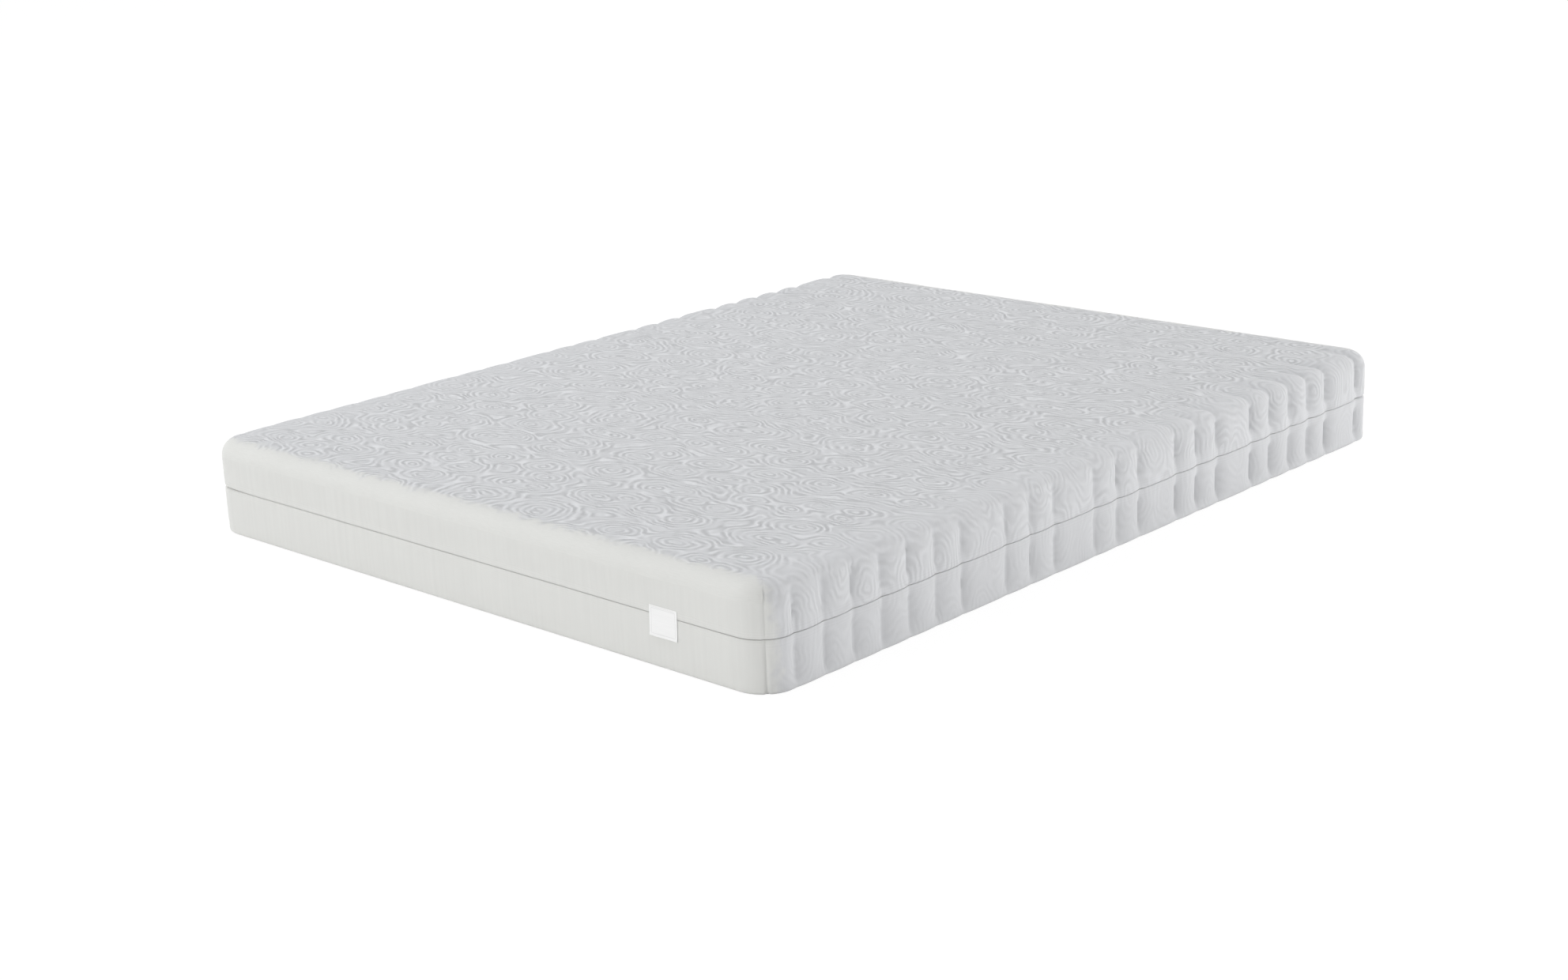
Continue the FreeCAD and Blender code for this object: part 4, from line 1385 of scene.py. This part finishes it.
def clothMap(tree):
    return place(tree, "UVMap", uv_map="cloth").outputs[0]


def ownPlace(tree):
    return place(tree, "TexCoord").outputs["Object"]


jacquard = dict(
    colour=(0.582, 0.588, 0.603), cell=0.078, pitch=0.0105, relief=0.0018, knit=0.00010, tone=0.38, wall=0.32
)
plain = dict(colour=(0.665, 0.667, 0.648), knit=0.00012)


def jacquardFinish(name, swirlShare):
    material, tree, shader = newFinish(name, 0.88, sheen=0.15)
    cloth, here = clothMap(tree), ownPlace(tree)
    ring = useGroup(tree, swirls, Vector=cloth, Cell=jacquard["cell"], Pitch=jacquard["pitch"])
    knit = useGroup(tree, fineKnit, Vector=cloth)
    # the swirls fade, with a ragged border, before the cloth turns down over the ends
    ragged = place(tree, "TexNoise", {"Vector": here, "Scale": 38.0, "Detail": 3.0})
    axes = place(tree, "SeparateXYZ", {"Vector": here}).outputs
    away = sums(tree, "ABSOLUTE", axes[1])
    edge = sums(tree, "MULTIPLY_ADD", ragged.outputs["Fac"], 0.05, away)
    shown = place(
        tree, "MapRange",
        {
            "Value": edge, "From Min": halfLength - 0.022, "From Max": halfLength + 0.006,
            "To Min": 1.0, "To Max": 0.0
        },
        interpolation_type="SMOOTHSTEP",
    ).outputs[0]
    towards = tuple(own - end for own, end in zip(jacquard["colour"], plain["colour"]))
    colour = vectors(tree, "MULTIPLY_ADD", shown, towards, plain["colour"])
    flatter = place(
        tree, "MapRange",
        {
            "Value": sums(tree, "ABSOLUTE", axes[0]), "From Min": halfWidth - 0.11,
            "From Max": halfWidth - 0.03,
            "To Min": 1.0, "To Max": jacquard["wall"],
        },
    ).outputs[0]
    share = sums(tree, "MULTIPLY", sums(tree, "MULTIPLY", shown, swirlShare), flatter)
    patchy = useGroup(tree, unevenTone, Vector=cloth, Scale=(22, 30, 1), Amount=0.5)["Tone"]
    share = sums(tree, "MULTIPLY", share, patchy)
    ringTone = sums(tree, "MULTIPLY", sums(tree, "SUBTRACT", ring["Height"], 0.5), share)
    tone = sums(tree, "MULTIPLY_ADD", ringTone, jacquard["tone"], 1.0)
    knitTone = sums(tree, "MULTIPLY_ADD", knit["Height"], 0.06, 0.97)
    cloud = useGroup(tree, unevenTone, Vector=here, Scale=(9, 9, 9), Amount=0.025)["Tone"]
    thread = useGroup(tree, unevenTone, Vector=cloth, Scale=(60, 420, 1), Amount=0.05)["Tone"]
    tinted(tree, shader, colour, tone, knitTone, cloud, thread)
    raised = sums(tree, "MULTIPLY", ring["Height"], share)
    raised = sums(tree, "MULTIPLY_ADD", knit["Height"], jacquard["knit"] / jacquard["relief"], raised)
    bumped(tree, shader, raised, jacquard["relief"])
    return material


def plainKnitFinish():
    material, tree, shader = newFinish("plainKnit", 0.88, sheen=0.15)
    cloth, here = clothMap(tree), ownPlace(tree)
    turned = place(tree, "Mapping", {"Vector": cloth, "Rotation": (0, 0, math.pi / 2)}).outputs[0]
    knit = useGroup(tree, fineKnit, Vector=turned, Wale=0.0014, Course=0.0012)
    streak = useGroup(tree, unevenTone, Vector=here, Scale=(95, 95, 3.5), Amount=0.045)["Tone"]
    cloud = useGroup(tree, unevenTone, Vector=here, Scale=(6, 6, 9), Amount=0.02)["Tone"]
    knitTone = sums(tree, "MULTIPLY_ADD", knit["Height"], 0.05, 0.975)
    tinted(tree, shader, plain["colour"], streak, cloud, knitTone)
    bumped(tree, shader, knit["Height"], plain["knit"])
    return material


def wovenFinish(name, colour, warp, weft, depth, roughness=0.85, sheen=0.1):
    material, tree, shader = newFinish(name, roughness, sheen=sheen)
    cloth, here = clothMap(tree), ownPlace(tree)
    weave = useGroup(tree, plainWeave, Vector=cloth, Warp=warp, Weft=weft)
    cloud = useGroup(tree, unevenTone, Vector=here, Scale=(25, 25, 25), Amount=0.04)["Tone"]
    thread = sums(tree, "MULTIPLY_ADD", weave["Height"], 0.14, 0.92)
    tinted(tree, shader, colour, cloud, thread)
    bumped(tree, shader, weave["Height"], depth)
    return material


def fibreFinish(name, colour, size, depth):
    # matted fibres, as in felt and wadding
    material, tree, shader = newFinish(name, 0.95, sheen=0.3)
    here = ownPlace(tree)
    drift = place(tree, "TexNoise", {"Vector": here, "Scale": 0.25 / size, "Detail": 2.0})
    swirl = vectors(
        tree, "ADD", here,
        vectors(tree, "MULTIPLY", drift.outputs["Color"], (size * 6, size * 6, size * 6))
    )
    strands = place(tree, "TexNoise", {"Vector": swirl, "Scale": 1 / size, "Detail": 6.0, "Roughness": 0.7})
    tufts = useGroup(tree, unevenTone, Vector=here, Scale=(40, 40, 40), Amount=0.07)["Tone"]
    tone = sums(tree, "MULTIPLY_ADD", strands.outputs["Fac"], 0.3, 0.85)
    tinted(tree, shader, colour, tone, tufts)
    bumped(tree, shader, strands.outputs["Fac"], depth)
    return material


def bondedFinish():
    # thin bonded cloth with a pattern of small pressed dots
    material, tree, shader = newFinish("bondedBacking", 0.8)
    here = ownPlace(tree)
    dots = place(tree, "TexVoronoi", {"Vector": here, "Scale": 420.0, "Randomness": 0.12})
    pressed = sums(tree, "MULTIPLY", dots.outputs["Distance"], 1.6, clamp=True)
    fibres = place(tree, "TexNoise", {"Vector": here, "Scale": 700.0, "Detail": 4.0})
    tone = sums(tree, "MULTIPLY_ADD", pressed, 0.08, 0.94)
    fine = sums(tree, "MULTIPLY_ADD", fibres.outputs["Fac"], 0.08, 0.96)
    tinted(tree, shader, (0.74, 0.74, 0.72), tone, fine)
    bumped(tree, shader, sums(tree, "MULTIPLY_ADD", fibres.outputs["Fac"], 0.3, pressed), 0.00015)
    return material


def foamFinish(name, colour, cell, depth, skin):
    material, tree, shader = newFinish(name, 0.9, sheen=0.1)
    here = ownPlace(tree)
    cells = useGroup(tree, foamCells, Vector=here, Cell=cell)
    cloud = useGroup(tree, unevenTone, Vector=here, Scale=(7, 7, 14), Amount=0.03)["Tone"]
    grain = useGroup(tree, unevenTone, Vector=here, Scale=(500, 500, 500), Amount=0.06)["Tone"]
    pores = sums(tree, "MULTIPLY_ADD", cells["Pore"], -skin, 1.0)
    tinted(tree, shader, colour, cloud, grain, pores)
    bumped(tree, shader, cells["Height"], depth)
    return material


def nylonFinish(name, colour, roughness):
    material, tree, shader = newFinish(name, roughness)
    here = ownPlace(tree)
    cloud = useGroup(tree, unevenTone, Vector=here, Scale=(60, 60, 60), Amount=0.04)["Tone"]
    tinted(tree, shader, colour, cloud)
    strand = place(tree, "TexNoise", {"Vector": here, "Scale": 2600.0, "Detail": 1.0})
    bumped(tree, shader, strand.outputs["Fac"], 0.00004)
    return material


def nickelFinish():
    # brushed nickel, duller where fingers and the chain rub it
    material, tree, shader = newFinish("brushedNickel", 0.3, metallic=1.0)
    here = ownPlace(tree)
    brushed = place(
        tree, "TexNoise",
        {"Vector": vectors(tree, "MULTIPLY", here, (4000, 250, 4000)), "Scale": 1.0, "Detail": 3.0}
    )
    rubbed = useGroup(tree, unevenTone, Vector=here, Scale=(220, 220, 220), Amount=0.25)["Tone"]
    rough = sums(tree, "MULTIPLY", sums(tree, "MULTIPLY_ADD", brushed.outputs["Fac"], 0.22, 0.2), rubbed)
    tree.links.new(rough, shader.inputs["Roughness"])
    tinted(tree, shader, (0.66, 0.65, 0.63), sums(tree, "MULTIPLY_ADD", brushed.outputs["Fac"], 0.12, 0.94))
    bumped(tree, shader, brushed.outputs["Fac"], 0.00003)
    return material


def satinFinish(name, wide, tall, stripe):
    # white satin with a plain woven border line
    material, tree, shader = newFinish(name, 0.45, sheen=0.2)
    cloth = clothMap(tree)
    axes = place(tree, "SeparateXYZ", {"Vector": cloth})
    right = sums(tree, "SUBTRACT", wide, axes.outputs[0])
    above = sums(tree, "SUBTRACT", tall, axes.outputs[1])
    rim = sums(
        tree, "MINIMUM", sums(tree, "MINIMUM", axes.outputs[0], right),
        sums(tree, "MINIMUM", axes.outputs[1], above)
    )
    near = sums(tree, "ABSOLUTE", sums(tree, "SUBTRACT", rim, stripe))
    line = sums(tree, "LESS_THAN", near, 0.0004)
    threads = useGroup(tree, plainWeave, Vector=cloth, Warp=0.00035, Weft=0.0016)
    cloud = useGroup(tree, unevenTone, Vector=cloth, Scale=(14, 300, 1), Amount=0.04)["Tone"]
    tone = sums(tree, "MULTIPLY_ADD", line, -0.16, 1.0)
    tinted(
        tree, shader, (0.86, 0.86, 0.86), tone, cloud,
        sums(tree, "MULTIPLY_ADD", threads["Height"], 0.06, 0.95)
    )
    bumped(tree, shader, sums(tree, "MULTIPLY_ADD", line, 0.6, threads["Height"]), 0.00006)
    return material


topCloth = jacquardFinish("jacquardTop", 1.0)
sideCloth = jacquardFinish("jacquardSide", 0.42)
endCloth = plainKnitFinish()
baseCloth = wovenFinish("baseCloth", (0.56, 0.56, 0.55), 0.0016, 0.0013, 0.0002)
bindingCloth = wovenFinish("bindingTape", (0.62, 0.62, 0.60), 0.0011, 0.0007, 0.0002)
tapeCloth = wovenFinish("zipTape", (0.66, 0.66, 0.645), 0.0009, 0.0006, 0.00015)
waddingFinish = fibreFinish("polyesterWadding", (0.78, 0.78, 0.77), 0.0022, 0.0012)
feltFinish = fibreFinish("needleFelt", (0.50, 0.50, 0.48), 0.0009, 0.0004)
backingFinish = bondedFinish()
memoryFinish = foamFinish("memoryFoam", (0.84, 0.80, 0.68), 0.0010, 0.00025, 0.05)
comfortFinish = foamFinish("comfortFoam", (0.62, 0.73, 0.80), 0.0016, 0.0004, 0.10)
supportFinish = foamFinish("supportFoam", (0.78, 0.78, 0.76), 0.0020, 0.0005, 0.12)
coilFinish = nylonFinish("nylonCoil", (0.74, 0.74, 0.73), 0.32)
threadFinish = nylonFinish("thread", (0.70, 0.70, 0.68), 0.6)
metalFinish = nickelFinish()
labelSatin = satinFinish("labelSatin", 0.068, 0.056, 0.005)
careSatin = satinFinish("careSatin", 0.050, 0.046, 0.004)
print("finishes")


def fit(piece, body, finish, slot, *nodes):
    piece.data.materials.clear()
    piece.data.materials.append(finish)
    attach(piece, body)
    if nodes:
        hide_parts(*nodes)


fit(upperWrap, "upper_cover", topCloth, "jacquard_knit", "upper_wrap_panel")
fit(upperFoot, "upper_cover", endCloth, "plain_knit", "upper_end_panel_foot")
fit(upperHead, "upper_cover", endCloth, "plain_knit", "upper_end_panel_head")
fit(upperWadding, "upper_cover", waddingFinish, "wadding", "upper_wadding")
fit(backingPiece, "upper_cover", backingFinish, "backing", "upper_backing")
fit(upperBinding, "upper_cover", bindingCloth, "binding", "upper_corner_tapes")
fit(upperTape, "upper_cover", tapeCloth, "zip_tape", "zip_tape_upper")
fit(upperCoil, "upper_cover", coilFinish, "zip_coil", "zip_coil_upper")
fit(upperStops, "upper_cover", metalFinish, "zip_metal", "zip_stops_upper")
fit(upperStitches, "upper_cover", threadFinish, "binding")
fit(brandLabel, "upper_cover", labelSatin, "label_satin", "label")
fit(endLabelStitches, "upper_cover", threadFinish, "label_satin")
fit(lowerRight, "lower_cover", sideCloth, "jacquard_knit", "lower_side_panel_right")
fit(lowerLeft, "lower_cover", sideCloth, "jacquard_knit", "lower_side_panel_left")
fit(lowerFoot, "lower_cover", endCloth, "plain_knit", "lower_end_panel_foot")
fit(lowerHead, "lower_cover", endCloth, "plain_knit", "lower_end_panel_head")
fit(basePanel, "lower_cover", baseCloth, "base_cloth", "base_panel")
fit(feltPiece, "lower_cover", feltFinish, "felt", "base_felt")
fit(lowerWadding, "lower_cover", waddingFinish, "wadding", "lower_wadding")
fit(lowerBinding, "lower_cover", bindingCloth, "binding", "lower_corner_tapes")
fit(edgeSeam, "lower_cover", bindingCloth, "binding", "base_edge_seam")
fit(lowerTape, "lower_cover", tapeCloth, "zip_tape", "zip_tape_lower")
fit(lowerCoil, "lower_cover", coilFinish, "zip_coil", "zip_coil_lower")
fit(lowerStops, "lower_cover", metalFinish, "zip_metal", "zip_stops_lower")
fit(lowerStitches, "lower_cover", threadFinish, "binding")
fit(careLabel, "lower_cover", careSatin, "label_satin", "care_label")
fit(careLabelStitches, "lower_cover", threadFinish, "label_satin")
fit(memoryLayer, "foam_core", memoryFinish, "memory_foam", "memory_foam_layer")
fit(comfortLayer, "foam_core", comfortFinish, "comfort_foam", "comfort_foam_layer")
fit(supportCore, "foam_core", supportFinish, "support_foam", "support_foam_core")
fit(zipSlider, "zip_slider", metalFinish, "zip_metal", "zip_slider")
fit(zipPull, "zip_pull", metalFinish, "zip_metal", "zip_pull")


print("pieces fitted")


studio = dict(sky=0.76, floor=0.93, paper=0.88, flag=0.3)


def buildFloor():
    bpy.ops.object.select_all(action="DESELECT")
    bpy.ops.mesh.primitive_plane_add(size=80)
    floor = bpy.context.object
    floor.name = "floor"
    material, tree, shader = newFinish("palePaper", 0.95)
    grain = useGroup(tree, unevenTone, Vector=ownPlace(tree), Scale=(0.5, 0.5, 0.5), Amount=0.004)["Tone"]
    tinted(tree, shader, (studio["floor"],) * 3, grain)
    # the camera sees it almost as bare white paper, with only a trace of shadow
    path = place(tree, "LightPath")
    seen = place(tree, "Emission", {"Color": (1, 1, 1, 1), "Strength": 1.05})
    mix = place(tree, "MixShader")
    plug(tree, sums(tree, "MULTIPLY", path.outputs["Is Camera Ray"], studio["paper"]), mix.inputs[0])
    tree.links.new(shader.outputs[0], mix.inputs[1])
    tree.links.new(seen.outputs[0], mix.inputs[2])
    tree.links.new(mix.outputs[0], tree.nodes["Material Output"].inputs["Surface"])
    floor.data.materials.append(material)


def buildSky():
    # even white light, which the camera sees as white paper
    world = bpy.data.worlds.new("studio")
    bpy.context.scene.world = world
    world.use_nodes = True
    tree = world.node_tree
    lit = tree.nodes["Background"]
    lit.inputs["Color"].default_value = (1, 1, 1, 1)
    # a grey flag up to the right keeps that edge of the top a little darker
    towards = place(tree, "TexCoord").outputs["Generated"]
    flag = place(
        tree, "VectorMath", {0: towards, 1: (0.66, 0, 0.75)}, operation="DOT_PRODUCT"
    ).outputs["Value"]
    shade = sums(tree, "POWER", sums(tree, "MAXIMUM", flag, 0.0), 3.0)
    plug(tree, sums(tree, "MULTIPLY_ADD", shade, -studio["flag"], studio["sky"]), lit.inputs["Strength"])
    seen = place(tree, "Background", {"Color": (1, 1, 1, 1), "Strength": 1.0})
    path = place(tree, "LightPath")
    mix = place(tree, "MixShader")
    tree.links.new(path.outputs["Is Camera Ray"], mix.inputs[0])
    tree.links.new(lit.outputs[0], mix.inputs[1])
    tree.links.new(seen.outputs[0], mix.inputs[2])
    tree.links.new(mix.outputs[0], tree.nodes["World Output"].inputs["Surface"])


def softbox(name, azimuth, elevation, distance, size, power, colour=(1, 1, 1)):
    a, e = math.radians(azimuth), math.radians(elevation)
    back = Vector((math.sin(a) * math.cos(e), -math.cos(a) * math.cos(e), math.sin(e)))
    bpy.ops.object.light_add(type="AREA", location=back * distance)
    lamp = bpy.context.object
    lamp.name = name
    lamp.data.shape = "RECTANGLE"
    lamp.data.size, lamp.data.size_y = size
    lamp.data.energy = power
    lamp.data.color = colour
    lamp.rotation_euler = (-back).to_track_quat("-Z", "Y").to_euler()


buildFloor()
buildSky()
softbox("sideLight", 130, 6, 9, (2.2, 2.2), 400, (1.0, 0.995, 0.985))
softbox("footLight", -4, 9, 9, (3, 2), 147, (1.0, 1.0, 0.99))
softbox("overhead", 288, 60, 9, (4, 4), 290, (0.98, 0.99, 1.0))

view = dict(
    azimuth=43.488, elevation=16.938, roll=-2.363, distance=5.131, target=(-0.006, -0.091, 0), lens=54.53
)


def placeCamera():
    a, e = math.radians(view["azimuth"]), math.radians(view["elevation"])
    back = Vector((math.sin(a) * math.cos(e), -math.cos(a) * math.cos(e), math.sin(e)))
    bpy.ops.object.camera_add(location=Vector(view["target"]) + back * view["distance"])
    camera = bpy.context.object
    camera.data.lens = view["lens"]
    camera.data.sensor_width = 36
    turn = (-back).to_track_quat("-Z", "Y") @ Quaternion((0, 0, 1), math.radians(view["roll"]))
    camera.rotation_euler = turn.to_euler()
    bpy.context.scene.camera = camera


placeCamera()
bpy.context.scene.view_settings.view_transform = "Standard"
print("studio")
